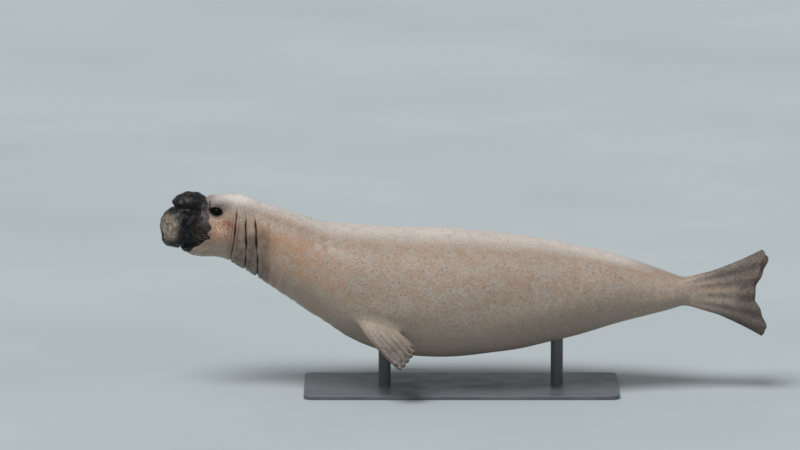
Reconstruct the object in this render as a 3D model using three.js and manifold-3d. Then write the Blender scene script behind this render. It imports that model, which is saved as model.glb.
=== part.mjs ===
// A bull southern elephant seal swimming at the surface with its head up, life size, on a plain stand.
// All sizes are in millimetres. The seal is first drawn straight in its own axes: x runs back from the
// front of the trunk, y to the seal's right, and z up from the water level that it swims at. Its neck
// and loins are then bent sideways a little, and it is set above the stand.
import * as THREE from "three";
import { mergeVertices } from "three/addons/utils/BufferGeometryUtils.js";
import Module from "manifold-3d";

const wasm = await Module();
wasm.setup();

// Gap between parted pieces.
const GAP = 0.3;

// Outline of the body without the face: height of back and belly, and half width, at places along x.
const BODY = [
  { x: 300, back: 276, belly: -85, half: 128 },
  { x: 450, back: 300, belly: -140, half: 178 },
  { x: 550, back: 303, belly: -195, half: 208 },
  { x: 700, back: 270, belly: -285, half: 246 },
  { x: 910, back: 202, belly: -425, half: 318 },
  { x: 1190, back: 113, belly: -610, half: 405 },
  { x: 1400, back: 89, belly: -740, half: 466 },
  { x: 1800, back: 68, belly: -862, half: 512 },
  { x: 2300, back: 42, belly: -862, half: 502 },
  { x: 2800, back: -18, belly: -775, half: 436 },
  { x: 3200, back: -100, belly: -668, half: 342 },
  { x: 3550, back: -200, belly: -565, half: 245 },
  { x: 3780, back: -275, belly: -505, half: 180 },
  { x: 3900, back: -325, belly: -462, half: 104 },
  { x: 3980, back: -352, belly: -432, half: 60 },
  { x: 4110, back: -375, belly: -412, half: 30 },
];
const BODY_SQUARENESS = 2.2;
const FRONT_ROUNDING = 150;
const TAIL_ROUNDING = 60;

// Rounded masses of the head: middle and half sizes.
const CRANIUM = { at: [515, 0, 149], size: [205, 186, 158] };
const MUZZLE = { at: [312, 0, 108], size: [188, 152, 166] };
const JAW = { at: [335, 0, -52], size: [182, 116, 80] };
const UPPER_LOBE = { at: [224, 0, 242], size: [141, 116, 105] };
const LOWER_LOBE = { at: [150, 0, 104], size: [150, 137, 140] };
const TRUNK_TIP = { at: [112, 0, 6], size: [98, 110, 68] };
// Masses on both sides of the face, given for the right side.
const CHEEK = { at: [450, 106, 75], size: [132, 100, 128] };
const BROW = { at: [415, 86, 245], size: [92, 74, 60] };
const WHISKER_PAD = { at: [284, 98, 72], size: [84, 62, 66] };
// How widely neighbouring masses melt together.
const SOFT_BLEND = 70;
const FACE_BLEND = 45;
const TRUNK_BLEND = 26;
const LOBE_BLEND = 14;

// Folds across the neck: place along x, depth, half width and how far up the side each one starts.
const FOLDS = [
  { x: 537, depth: 16, half: 8, start: 44 },
  { x: 618, depth: 19, half: 8, start: 42 },
  { x: 689, depth: 20, half: 8, start: 44 },
  { x: 790, depth: 9, half: 11, start: 40 },
  { x: 905, depth: 8, half: 13, start: 92 },
];
const FOLD_FADE = 16;

// Eyes.
const EYE = { x: 412, z: 220, radius: 35, sunk: 28, lid: 8, forward: 0.24, up: 0.12 };
const EYE_SLIT = { front: 40, rear: 30, upper: 23, lower: 20, tilt: 12 };

// Openings and lines of the face.
const NOSTRIL = { at: [34, 34, 22], size: [26, 9, 24], splay: 16 };
const EAR_HOLE = { x: 575, z: 178, radius: 7 };
const MOUTH = [
  [350, 34],
  [326, 14],
  [292, -4],
  [245, -22],
  [203, -38],
];
const MOUTH_FRONT = [163, -54];
const LIP_GROOVE = 6;
const CREASE_HEIGHT = 242;
const CREASE_BACK = 262;
const CREASE_GROOVE = 8;
const JAW_CORNER = [
  [410, 12],
  [470, -60],
  [506, -160],
  [512, -320],
];

// Where the flesh is parted.
const TRUNK_CUT = { top: [348, 310], foot: [208, -33] };
const CUTS = { nape: 613, shoulder: 1120, waist: 2080, loin: 2920, rump: 3862 };

// Fore flippers: root inside the chest, span, chord and thickness, and the five digits across it.
const FORE = {
  root: [1490, 350, -470],
  span: [0.5, 0.62, -0.6],
  length: [600, 490],
  half: [104, 110, 104],
  thick: [56, 22, 7],
  edge: 4,
  sweep: 60,
  droop: 46,
  web: 14,
  round: 34,
  digits: [-0.82, -0.42, 0, 0.41, 0.8],
  ridge: 5,
};
// Hind flippers: root inside the loins. The outer digits are the longest, and the fan stands upright.
const HIND = {
  root: [3700, 88, -386],
  length: 812,
  inner: 165,
  half: 66,
  spread: 16.5,
  thick: [46, 17, 5.5],
  edge: 3.5,
  toeOut: 26,
  cup: 46,
  web: 15,
  round: 60,
  digits: [-0.86, -0.45, 0, 0.45, 0.86],
  ridge: 9,
  pitch: { left: -2, right: 3 },
};
const CLAW = { length: 50, half: 7, back: 0.9, bend: 9 };

// The bends of the neck and the loins: where they start and end along x, and the turn in degrees.
const NECK_BEND = { from: 1300, to: 760, turn: 4 };
const LOIN_BEND = { from: 2600, to: 3500, turn: 5 };

// The stand. The seal's belly clears its base.
const BASE = { length: 2300, width: 900, thick: 30, corner: 60, bevel: 4 };
const ROD_RADIUS = 45;
const ROD_PLACES = { stand_rod_front: 1640, stand_rod_rear: 2900 };
const BELLY_CLEARANCE = 230;
const BASE_MIDDLE = 2200;
const WATER_LEVEL = BASE.thick + BELLY_CLEARANCE + 865;

// How finely the flesh is divided.
const ROUND_STEPS = 40;
const FAN_STEPS = 14;
const RAY_REACH = 720;
const RAY_STEP = 10;
const HALVINGS = 12;

const SKIN_TAN = 0xa8917f;
const SKIN_DARK = 0x3b3634;
const SKIN_GREY = 0x8a7d74;
const EYE_BLACK = 0x0d0b0c;
const CLAW_BROWN = 0x2a241f;
const STAND_GREY = 0x55585c;

const toRadians = THREE.MathUtils.degToRad;
const clamp = THREE.MathUtils.clamp;

// A smooth curve through points: cubic pieces whose slope at a point is the mean of its two sides'.
function curveThrough(xs, ys) {
  const slopes = xs.slice(1).map((x, i) => (ys[i + 1] - ys[i]) / (x - xs[i]));
  const tangents = xs.map((_, i) => ((slopes[i - 1] ?? slopes[i]) + (slopes[i] ?? slopes[i - 1])) / 2);
  return (x) => {
    const at = clamp(x, xs[0], xs[xs.length - 1]);
    let i = 0;
    while (i < xs.length - 2 && at > xs[i + 1]) i++;
    const width = xs[i + 1] - xs[i];
    const t = (at - xs[i]) / width;
    return (
      ys[i] * (1 + 2 * t) * (1 - t) ** 2 +
      ys[i + 1] * t * t * (3 - 2 * t) +
      width * t * (1 - t) * (tangents[i] * (1 - t) - tangents[i + 1] * t)
    );
  };
}

const stations = BODY.map((s) => s.x);
const backAt = curveThrough(stations, BODY.map((s) => s.back));
const bellyAt = curveThrough(stations, BODY.map((s) => s.belly));
const halfAt = curveThrough(stations, BODY.map((s) => s.half));
const middleAt = (x) => (backAt(x) + bellyAt(x)) / 2;
const FRONT = stations[0];
const TAIL_TIP = stations[stations.length - 1];
const TAIL_CORE = TAIL_TIP - TAIL_ROUNDING;

// Share of the full section that the rounded ends of the body keep at x.
function endRounding(x) {
  const front = clamp((FRONT + FRONT_ROUNDING - x) / FRONT_ROUNDING, 0, 1);
  const rear = clamp((x - TAIL_CORE) / TAIL_ROUNDING, 0, 1);
  return Math.sqrt(Math.max(1 - (0.75 * front) ** 2 - rear ** 2, 1e-4));
}

// Rough distance from the body's surface, below zero inside it.
function bodyDistance(x, y, z) {
  const ends = endRounding(x);
  const half = halfAt(x) * ends;
  const tall = ((backAt(x) - bellyAt(x)) / 2) * ends;
  const n = BODY_SQUARENESS;
  const reach = (Math.abs(y / half) ** n + Math.abs((z - middleAt(x)) / tall) ** n) ** (1 / n);
  const past = Math.max(FRONT - x, x - TAIL_TIP);
  return Math.max((reach - 1) * Math.min(half, tall), past);
}

// Rough distance from an ellipsoid.
function massDistance({ at, size }, x, y, z) {
  const [a, b, c] = [(x - at[0]) / size[0], (y - at[1]) / size[1], (z - at[2]) / size[2]];
  const reach = Math.hypot(a, b, c);
  return (reach * (reach - 1)) / Math.max(Math.hypot(a / size[0], b / size[1], c / size[2]), 1e-9);
}

// The lesser of two distances, melted together where they differ by less than the blend.
function melt(p, q, blend) {
  const near = Math.max(blend - Math.abs(p - q), 0) / blend;
  return Math.min(p, q) - (near * near * blend) / 4;
}

// Depth of the neck folds at a point. They start on the side and run down round the throat.
function foldDepth(x, y, z) {
  const down = THREE.MathUtils.radToDeg(Math.atan2(Math.abs(y), z - middleAt(x)));
  return FOLDS.reduce((sum, f) => {
    const shown = THREE.MathUtils.smoothstep(down, f.start, f.start + FOLD_FADE);
    return sum + f.depth * shown * Math.exp(-(((x - f.x) / f.half) ** 2));
  }, 0);
}

// Rough distance from the seal's flesh without its flippers.
function fleshDistance(x, y, z) {
  const side = Math.abs(y);
  let head = melt(bodyDistance(x, y, z), massDistance(CRANIUM, x, y, z), SOFT_BLEND);
  if (x > 900) return head + foldDepth(x, y, z);
  head = melt(head, massDistance(MUZZLE, x, y, z), SOFT_BLEND);
  head = melt(head, massDistance(CHEEK, x, side, z), SOFT_BLEND);
  head = melt(head, massDistance(JAW, x, y, z), FACE_BLEND);
  head = melt(head, massDistance(BROW, x, side, z), FACE_BLEND);
  let trunk = melt(massDistance(LOWER_LOBE, x, y, z), massDistance(TRUNK_TIP, x, y, z), FACE_BLEND);
  trunk = melt(trunk, massDistance(UPPER_LOBE, x, y, z), LOBE_BLEND);
  head = melt(head, trunk, TRUNK_BLEND);
  head = melt(head, massDistance(WHISKER_PAD, x, side, z), TRUNK_BLEND);
  return head + foldDepth(x, y, z);
}

// Distance along a ray from a point inside to the flesh's outermost surface.
function surfaceAlong(origin, direction, reach = RAY_REACH) {
  const at = (r) =>
    fleshDistance(
      origin[0] + r * direction[0],
      origin[1] + r * direction[1],
      origin[2] + r * direction[2],
    );
  let outside = reach;
  while (outside > RAY_STEP && at(outside - RAY_STEP) > 0) outside -= RAY_STEP;
  let inside = outside - RAY_STEP;
  for (let i = 0; i < HALVINGS; i++) {
    const middle = (inside + outside) / 2;
    if (at(middle) > 0) outside = middle;
    else inside = middle;
  }
  return (inside + outside) / 2;
}

// How far the flesh's side stands out from the middle plane.
const sideOf = (x, z) => surfaceAlong([x, 0, z], [0, 1, 0]);

// A closed geometry from rings of points, each ring drawn the same way round, from a starting point.
// It ends in a point too, or else in a strip across the last ring, from one half of it to the other.
function closedGrid(start, rings, end) {
  const count = rings[0].length;
  const points = [start, ...rings.flat(), ...(end ? [end] : [])];
  const last = points.length - 1;
  const at = (i, j) => 1 + i * count + (j % count);
  const faces = [];
  for (let j = 0; j < count; j++) {
    faces.push(0, at(0, j), at(0, j + 1));
    if (end) faces.push(last, at(rings.length - 1, j + 1), at(rings.length - 1, j));
    for (let i = 0; i < rings.length - 1; i++) {
      faces.push(at(i, j), at(i + 1, j), at(i, j + 1));
      faces.push(at(i + 1, j), at(i + 1, j + 1), at(i, j + 1));
    }
  }
  for (let j = 0; !end && j < count / 2 - 1; j++) {
    const [a, b] = [at(rings.length - 1, j), at(rings.length - 1, j + 1)];
    const [c, d] = [at(rings.length - 1, count - 2 - j), at(rings.length - 1, count - 1 - j)];
    faces.push(a, c, b, a, d, c);
  }
  const geometry = new THREE.BufferGeometry();
  geometry.setAttribute("position", new THREE.Float32BufferAttribute(points.flat(), 3));
  geometry.setIndex(faces);
  return geometry;
}

// A solid from a closed geometry.
function solidOf(geometry) {
  const bare = geometry.clone();
  bare.deleteAttribute("normal");
  bare.deleteAttribute("uv");
  const merged = mergeVertices(bare, 1e-4);
  const mesh = new wasm.Mesh({
    numProp: 3,
    vertProperties: new Float32Array(merged.attributes.position.array),
    triVerts: new Uint32Array(merged.index.array),
  });
  return new wasm.Manifold(mesh);
}

// The largest closed surface of a solid.
function largest(solid) {
  return solid.decompose().reduce((best, piece) => (piece.volume() > best.volume() ? piece : best));
}

// Places along x where the flesh has a ring: close together at the folds and on the head.
function ringPlaces() {
  const places = [];
  for (let x = FRONT; x < 515; x += 21) places.push(x);
  for (const f of FOLDS) {
    for (const step of f.depth > 10 ? [-2.2, -0.9, 0, 0.9, 2.2] : [-2, 0, 2]) {
      places.push(f.x + step * f.half);
    }
  }
  places.push(577, 653, 727, 745, 842, 965, 1010);
  for (let x = 1060; x < 3700; x += 120) places.push(x);
  for (let x = 3720; x < TAIL_CORE; x += 40) places.push(x);
  return places.sort((a, b) => a - b);
}

// The flesh as rings of points round its length, grown outwards by a little.
function fleshSolid(grow) {
  const around = Array.from({ length: ROUND_STEPS }, (_, j) => (j / ROUND_STEPS) * 2 * Math.PI);
  const point = (origin, direction) => {
    const r = surfaceAlong(origin, direction) + grow;
    return origin.map((o, k) => o + r * direction[k]);
  };
  // A fan of rays closes each end. lean runs from 0, straight out, to 1, along x.
  const fan = (x, way, lean) => {
    const turn = (lean * Math.PI) / 2;
    return around.map((a) =>
      point(
        [x, 0, middleAt(x)],
        [way * Math.sin(turn), Math.sin(a) * Math.cos(turn), Math.cos(a) * Math.cos(turn)],
      ),
    );
  };
  const rings = [];
  for (let i = FAN_STEPS - 1; i > 0; i--) rings.push(fan(FRONT, -1, i / FAN_STEPS));
  for (const x of ringPlaces()) rings.push(fan(x, 1, 0));
  for (const lean of [0, 0.25, 0.5, 0.75]) rings.push(fan(TAIL_CORE, 1, lean));
  const start = point([FRONT, 0, middleAt(FRONT)], [-1, 0, 0]);
  const end = point([TAIL_CORE, 0, middleAt(TAIL_CORE)], [1, 0, 0]);
  return solidOf(closedGrid(start, rings, end));
}

// An ellipsoid solid.
function ellipsoid(at, size, turn = new THREE.Euler(), steps = 8) {
  const geometry = new THREE.SphereGeometry(1, steps * 2, steps);
  const place = new THREE.Matrix4().compose(
    new THREE.Vector3(...at),
    new THREE.Quaternion().setFromEuler(turn),
    new THREE.Vector3(...size),
  );
  return solidOf(geometry.applyMatrix4(place));
}

// A round groove cutter that follows a line of points.
function grooveAlong(points, radius) {
  const curve = new THREE.CatmullRomCurve3(points.map((p) => new THREE.Vector3(...p)));
  const section = new THREE.Shape().absarc(0, 0, radius, 0, 2 * Math.PI);
  const steps = points.length * 2;
  return solidOf(
    new THREE.ExtrudeGeometry(section, { extrudePath: curve, steps, curveSegments: 3, bevelEnabled: false }),
  );
}

// A flat-sided solid between two heights of y, from an outline in x and z.
function slabFrom(outline, reach) {
  const shape = new THREE.Shape(outline.map(([x, z]) => new THREE.Vector2(x, z)));
  const geometry = new THREE.ExtrudeGeometry(shape, { depth: 2 * reach, bevelEnabled: false });
  geometry.translate(0, 0, -reach);
  geometry.rotateX(Math.PI / 2);
  return solidOf(geometry);
}

// The directions of an eye: out of the head, and up and forward along the lids.
function eyeAxes(side) {
  const out = new THREE.Vector3(-EYE.forward, side, EYE.up).normalize();
  const up = new THREE.Vector3(0, 0, 1).addScaledVector(out, -out.z).normalize();
  const along = new THREE.Vector3().crossVectors(up, out);
  return { out, up, along };
}

function eyeMiddle(side) {
  return [EYE.x, side * (sideOf(EYE.x, EYE.z) - EYE.sunk), EYE.z];
}

function eyeball(side, grow = 0) {
  const r = EYE.radius + grow;
  return ellipsoid(eyeMiddle(side), [r, r, r]);
}

// The gap between the lids, as a prism that runs out of the head.
function lidOpening(side) {
  const { out, up, along } = eyeAxes(side);
  const shape = new THREE.Shape();
  const back = -side;
  shape.moveTo(-EYE_SLIT.front * back, 2);
  shape.quadraticCurveTo(-EYE_SLIT.front * 0.5 * back, EYE_SLIT.upper, 0, EYE_SLIT.upper);
  shape.quadraticCurveTo(EYE_SLIT.rear * 0.7 * back, EYE_SLIT.upper, EYE_SLIT.rear * back, 0);
  shape.quadraticCurveTo(EYE_SLIT.rear * 0.7 * back, -EYE_SLIT.lower, 0, -EYE_SLIT.lower);
  shape.quadraticCurveTo(-EYE_SLIT.front * 0.6 * back, -EYE_SLIT.lower, -EYE_SLIT.front * back, 2);
  const geometry = new THREE.ExtrudeGeometry(shape, { depth: 90, curveSegments: 4, bevelEnabled: false });
  geometry.rotateZ(toRadians(EYE_SLIT.tilt * side));
  const place = new THREE.Matrix4().makeBasis(along, up, out).setPosition(...eyeMiddle(side));
  return solidOf(geometry.applyMatrix4(place));
}

// The line of the lips, from one corner of the mouth round the front to the other.
function lipGroove() {
  const side = (s) => MOUTH.map(([x, z]) => [x, s * sideOf(x, z), z]);
  const front = [MOUTH_FRONT[0], 0, MOUTH_FRONT[1]];
  return grooveAlong([...side(-1), front, ...side(1).reverse()], LIP_GROOVE);
}

// The crease that parts the trunk's two lobes, round its front.
function creaseGroove() {
  const count = 10;
  const middle = [CREASE_BACK, 0, CREASE_HEIGHT];
  const points = Array.from({ length: count + 1 }, (_, i) => {
    const turn = (i / count - 0.5) * Math.PI;
    const direction = [-Math.cos(turn), Math.sin(turn), 0];
    const r = surfaceAlong(middle, direction, 330);
    return middle.map((m, k) => m + r * direction[k]);
  });
  return grooveAlong(points, CREASE_GROOVE);
}

// The flesh with its lids, nostrils, ear holes, lips and crease.
function carvedFlesh() {
  let flesh = fleshSolid(0);
  for (const side of [-1, 1]) {
    const lids = EYE.radius + EYE.lid;
    flesh = flesh.add(ellipsoid(eyeMiddle(side), [lids, lids, lids]));
    flesh = flesh.subtract(eyeball(side, GAP)).subtract(lidOpening(side));
    const turn = new THREE.Euler(toRadians(-NOSTRIL.splay * side), toRadians(38), 0);
    const [x, y, z] = NOSTRIL.at;
    flesh = flesh.subtract(ellipsoid([x, side * y, z], NOSTRIL.size, turn, 6));
    const ear = [EAR_HOLE.x, side * sideOf(EAR_HOLE.x, EAR_HOLE.z), EAR_HOLE.z];
    flesh = flesh.subtract(ellipsoid(ear, [EAR_HOLE.radius, 10, EAR_HOLE.radius], undefined, 5));
  }
  return flesh.subtract(lipGroove()).subtract(creaseGroove());
}

// The outline of the lower jaw's side of its parting, pushed out by a gap.
function jawOutline(grow) {
  const edge = [[120, -58], MOUTH_FRONT, ...[...MOUTH].reverse(), ...JAW_CORNER];
  const moved = edge.map(([x, z], i) => {
    const [x0, z0] = edge[Math.max(i - 1, 0)];
    const [x1, z1] = edge[Math.min(i + 1, edge.length - 1)];
    const length = Math.hypot(x1 - x0, z1 - z0);
    return [x - (grow * (z1 - z0)) / length, z + (grow * (x1 - x0)) / length];
  });
  return [[120 - grow, -320], ...moved];
}

// Parts the flesh into the seal's named regions.
function fleshNodes() {
  const flesh = carvedFlesh();
  const reach = 1000;
  const jaw = slabFrom(jawOutline(0), reach);
  const [tx, tz] = TRUNK_CUT.top;
  const [fx, fz] = TRUNK_CUT.foot;
  const slope = (tx - fx) / (tz - fz);
  const trunkEdge = (z) => fx + (z - fz) * slope;
  const inFront = (gap) =>
    slabFrom(
      [
        [-200, 500],
        [-200, -200],
        [trunkEdge(-200) + gap, -200],
        [trunkEdge(500) + gap, 500],
      ],
      reach,
    );
  const between = (from, to) =>
    slabFrom(
      [
        [from, -1200],
        [to, -1200],
        [to, 600],
        [from, 600],
      ],
      reach,
    );
  const face = flesh.intersect(between(-200, CUTS.nape));
  const skull = face.subtract(slabFrom(jawOutline(GAP), reach));
  const nodes = {
    proboscis: skull.intersect(inFront(0)),
    head: skull.subtract(inFront(GAP)),
    lower_jaw: face.intersect(jaw),
    neck: flesh.intersect(between(CUTS.nape + GAP, CUTS.shoulder)),
    chest: flesh.intersect(between(CUTS.shoulder + GAP, CUTS.waist)),
    belly: flesh.intersect(between(CUTS.waist + GAP, CUTS.loin)),
    hips: flesh.intersect(between(CUTS.loin + GAP, CUTS.rump)),
    tail: flesh.intersect(between(CUTS.rump + GAP, TAIL_TIP + 100)),
  };
  return Object.fromEntries(Object.entries(nodes).map(([name, solid]) => [name, largest(solid)]));
}

// A value that runs through three given ones at 0, a half and 1.
const through = ([a, b, c], t) => curveThrough([0, 0.5, 1], [a, b, c])(t);

// How near a place across a flipper is to one of its digits, from 0 to 1.
function nearDigit(digits, across) {
  return digits.reduce((most, d) => Math.max(most, Math.exp(-(((across - d) / 0.16) ** 2))), 0);
}

// Half the thickness of a flipper at a place along and across it.
function flipperHalf(shape, along, across) {
  const arch = Math.sqrt(Math.max(1 - across ** 2, 0));
  const ridge = shape.ridge * nearDigit(shape.digits, across) * clamp(along * 2, 0, 1);
  return Math.max(through(shape.thick, along) * arch + ridge * Math.sqrt(arch), shape.edge);
}

// The mid-surface of a fore flipper: along runs from root to tip and across from the front edge back.
function forePoint(side, along, across) {
  const span = new THREE.Vector3(FORE.span[0], side * FORE.span[1], FORE.span[2]).normalize();
  const chord = new THREE.Vector3(1, 0, 0).addScaledVector(span, -span.x).normalize();
  const out = new THREE.Vector3().crossVectors(chord, span).multiplyScalar(side);
  const [lead, trail] = FORE.length;
  const web = FORE.web * (1 - nearDigit(FORE.digits, across)) * along ** 4;
  const length = lead + ((trail - lead) * (across + 1)) / 2 - web - FORE.round * across ** 6;
  const point = new THREE.Vector3(FORE.root[0], side * FORE.root[1], FORE.root[2]);
  point.addScaledVector(span, along * length);
  point.addScaledVector(chord, across * through(FORE.half, along) + FORE.sweep * along ** 2);
  point.addScaledVector(out, -FORE.droop * along ** 2 * 0.6 - 8 * across ** 2);
  return { point, out };
}

// The mid-surface of a hind flipper: across runs from the upper edge to the lower.
function hindPoint(side, along, across) {
  const pitch = side < 0 ? HIND.pitch.left : HIND.pitch.right;
  const turn = toRadians(HIND.spread * across * (0.7 + 0.42 * along) + pitch);
  const web = HIND.web * (1 - nearDigit(HIND.digits, across)) * along ** 4;
  const rounding = HIND.round * across ** 8;
  const length = HIND.length - HIND.inner * (1 - Math.abs(across) ** 1.6) - web - rounding;
  const far = along * length;
  const point = new THREE.Vector3(
    HIND.root[0] + far * Math.cos(turn),
    side * (HIND.root[1] + HIND.toeOut * along - HIND.cup * across ** 2 * along ** 2),
    HIND.root[2] - across * HIND.half - far * Math.sin(turn),
  );
  return { point, out: new THREE.Vector3(0, side, 0) };
}

// A flipper as closed rings: over its outer face, round the rear edge and back over its inner face.
function flipperSolid(shape, pointAt, side, grow = 0) {
  const rows = 8;
  const columns = 16;
  const ring = (along) => {
    const upper = [];
    const lower = [];
    for (let k = 0; k <= columns; k++) {
      const across = (k / columns) * 2 - 1;
      const { point, out } = pointAt(side, along, across * (1 + grow / 100));
      const half = flipperHalf(shape, along, across) + grow;
      upper.push(point.clone().addScaledVector(out, half).toArray());
      lower.push(point.clone().addScaledVector(out, -half).toArray());
    }
    return side * shape.turn > 0 ? [...lower, ...upper.reverse()] : [...upper, ...lower.reverse()];
  };
  const rings = Array.from({ length: rows + 1 }, (_, i) => ring(i / rows));
  return solidOf(closedGrid(pointAt(side, 0, 0).point.toArray(), rings));
}

const foreFlipper = (side, grow) => flipperSolid({ ...FORE, turn: 1 }, forePoint, side, grow);
const hindFlipper = (side, grow) => flipperSolid({ ...HIND, turn: -1 }, hindPoint, side, grow);

// A claw that lies on a digit's end and runs out past it, narrowing to a blunt point.
function clawSolid(side, digit) {
  const base = forePoint(side, CLAW.back, digit);
  const ahead = forePoint(side, 1, digit).point.sub(base.point).normalize();
  const across = new THREE.Vector3().crossVectors(base.out, ahead).normalize();
  const lift = flipperHalf(FORE, CLAW.back, digit);
  const rings = [0, 0.35, 0.7, 0.94].map((t) => {
    const half = CLAW.half * (1 - 0.82 * t ** 1.6);
    return Array.from({ length: 8 }, (_, k) => {
      const a = (k / 8) * 2 * Math.PI;
      return base.point
        .clone()
        .addScaledVector(ahead, t * CLAW.length)
        .addScaledVector(base.out, lift - CLAW.bend * t * t + half * 0.8 * Math.sin(a))
        .addScaledVector(across, -half * Math.cos(a))
        .toArray();
    });
  });
  const centre = (t) =>
    base.point
      .clone()
      .addScaledVector(ahead, t * CLAW.length)
      .addScaledVector(base.out, lift - CLAW.bend * t * t)
      .toArray();
  return solidOf(closedGrid(centre(0), rings, centre(1)));
}

// Carries a point of the straight seal to its place in the swimming pose above the stand.
function posed([x, y, z]) {
  const bends = [
    { ...NECK_BEND, way: -1 },
    { ...LOIN_BEND, way: 1 },
  ];
  const height = z + WATER_LEVEL;
  for (const bend of bends) {
    const past = (x - bend.from) * bend.way;
    if (past <= 0) continue;
    const arc = Math.abs(bend.to - bend.from);
    const full = toRadians(bend.turn);
    const turn = full * Math.min(past / arc, 1);
    const radius = arc / full;
    const straight = Math.max(past - arc, 0);
    const along = radius * Math.sin(turn) + straight * Math.cos(turn) + y * Math.sin(turn);
    const aside = radius * (1 - Math.cos(turn)) + straight * Math.sin(turn) - y * Math.cos(turn);
    return [bend.from + bend.way * along - BASE_MIDDLE, -aside, height];
  }
  return [x - BASE_MIDDLE, y, height];
}

// The solid of the posed seal, from a straight one.
function pose(solid) {
  const mesh = solid.getMesh();
  const points = mesh.vertProperties;
  for (let i = 0; i < points.length; i += 3) {
    points.set(posed([points[i], points[i + 1], points[i + 2]]), i);
  }
  return new wasm.Manifold(
    new wasm.Mesh({ numProp: 3, vertProperties: points, triVerts: mesh.triVerts }),
  );
}

function meshOf(name, solid, colour, roughness, metalness = 0) {
  const { vertProperties, triVerts } = solid.getMesh();
  const geometry = new THREE.BufferGeometry();
  geometry.setAttribute("position", new THREE.BufferAttribute(vertProperties, 3));
  geometry.setIndex(new THREE.BufferAttribute(triVerts, 1));
  geometry.computeVertexNormals();
  const material = new THREE.MeshStandardMaterial({ color: colour, roughness, metalness });
  const mesh = new THREE.Mesh(geometry, material);
  mesh.name = name;
  return mesh;
}

function standBase() {
  const [x, y, r] = [BASE.length / 2 - BASE.bevel, BASE.width / 2 - BASE.bevel, BASE.corner];
  const shape = new THREE.Shape();
  shape.moveTo(-x + r, -y);
  shape.lineTo(x - r, -y).absarc(x - r, -y + r, r, -Math.PI / 2, 0);
  shape.lineTo(x, y - r).absarc(x - r, y - r, r, 0, Math.PI / 2);
  shape.lineTo(-x + r, y).absarc(-x + r, y - r, r, Math.PI / 2, Math.PI);
  shape.lineTo(-x, -y + r).absarc(-x + r, -y + r, r, Math.PI, 1.5 * Math.PI);
  const geometry = new THREE.ExtrudeGeometry(shape, {
    depth: BASE.thick - 2 * BASE.bevel,
    bevelThickness: BASE.bevel,
    bevelSize: BASE.bevel,
    bevelSegments: 1,
    curveSegments: 5,
  });
  return solidOf(geometry.translate(0, 0, BASE.bevel));
}

// A round rod from the base up into the belly, cut clear of the flesh.
function standRod(x, flesh) {
  const foot = BASE.thick + GAP;
  const height = BELLY_CLEARANCE + 400;
  const geometry = new THREE.CylinderGeometry(ROD_RADIUS, ROD_RADIUS, height, 32);
  geometry.rotateX(Math.PI / 2).translate(x - BASE_MIDDLE, 0, foot + height / 2);
  return solidOf(geometry).subtract(flesh);
}

const seal = new THREE.Group();
const grownFlesh = fleshSolid(GAP);
const flesh = fleshNodes();
const DARK = ["proboscis", "lower_jaw"];
for (const [name, solid] of Object.entries(flesh)) {
  seal.add(meshOf(name, pose(solid), DARK.includes(name) ? SKIN_DARK : SKIN_TAN, 0.55));
}
for (const [side, hand] of [
  [-1, "left"],
  [1, "right"],
]) {
  seal.add(meshOf(`eye_${hand}`, pose(eyeball(side)), EYE_BLACK, 0.08));
  const fore = largest(foreFlipper(side).subtract(grownFlesh));
  seal.add(meshOf(`fore_flipper_${hand}`, pose(fore), SKIN_GREY, 0.55));
  const hind = largest(hindFlipper(side).subtract(grownFlesh));
  seal.add(meshOf(`hind_flipper_${hand}`, pose(hind), SKIN_GREY, 0.55));
  const grownFlipper = foreFlipper(side, GAP);
  FORE.digits.forEach((digit, i) => {
    const claw = largest(clawSolid(side, digit).subtract(grownFlipper));
    seal.add(meshOf(`claw_${hand}_${i + 1}`, pose(claw), CLAW_BROWN, 0.35));
  });
}
seal.add(meshOf("stand_base", standBase(), STAND_GREY, 0.4, 0.6));
for (const [name, x] of Object.entries(ROD_PLACES)) {
  seal.add(meshOf(name, largest(standRod(x, pose(grownFlesh))), STAND_GREY, 0.4, 0.6));
}

// The origin is under the middle of the whole, on the floor.
const middle = new THREE.Box3().setFromObject(seal).getCenter(new THREE.Vector3());
seal.position.set(-middle.x, -middle.y, 0);
seal.updateMatrixWorld(true);

export default seal;
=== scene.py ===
import math
import time

import bpy
import numpy as np
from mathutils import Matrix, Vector


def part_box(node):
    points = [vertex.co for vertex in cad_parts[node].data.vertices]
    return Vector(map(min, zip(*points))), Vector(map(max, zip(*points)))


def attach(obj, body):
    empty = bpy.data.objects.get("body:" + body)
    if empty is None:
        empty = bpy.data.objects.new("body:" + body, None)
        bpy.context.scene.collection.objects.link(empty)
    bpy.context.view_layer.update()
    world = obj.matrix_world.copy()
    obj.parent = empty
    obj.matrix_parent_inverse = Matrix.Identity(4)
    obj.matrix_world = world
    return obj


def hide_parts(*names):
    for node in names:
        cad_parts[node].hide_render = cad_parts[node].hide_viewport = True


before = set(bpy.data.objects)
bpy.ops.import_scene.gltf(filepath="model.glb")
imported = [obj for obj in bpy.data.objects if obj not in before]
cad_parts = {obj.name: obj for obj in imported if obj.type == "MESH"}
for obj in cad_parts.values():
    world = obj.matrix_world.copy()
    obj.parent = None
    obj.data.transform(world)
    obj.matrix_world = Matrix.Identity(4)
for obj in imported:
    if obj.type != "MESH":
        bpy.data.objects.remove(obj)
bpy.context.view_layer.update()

startedAt = time.time()
rng = np.random.default_rng(11)


def say(text):
    print(f"{text} ({time.time() - startedAt:.0f} s)")


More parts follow.
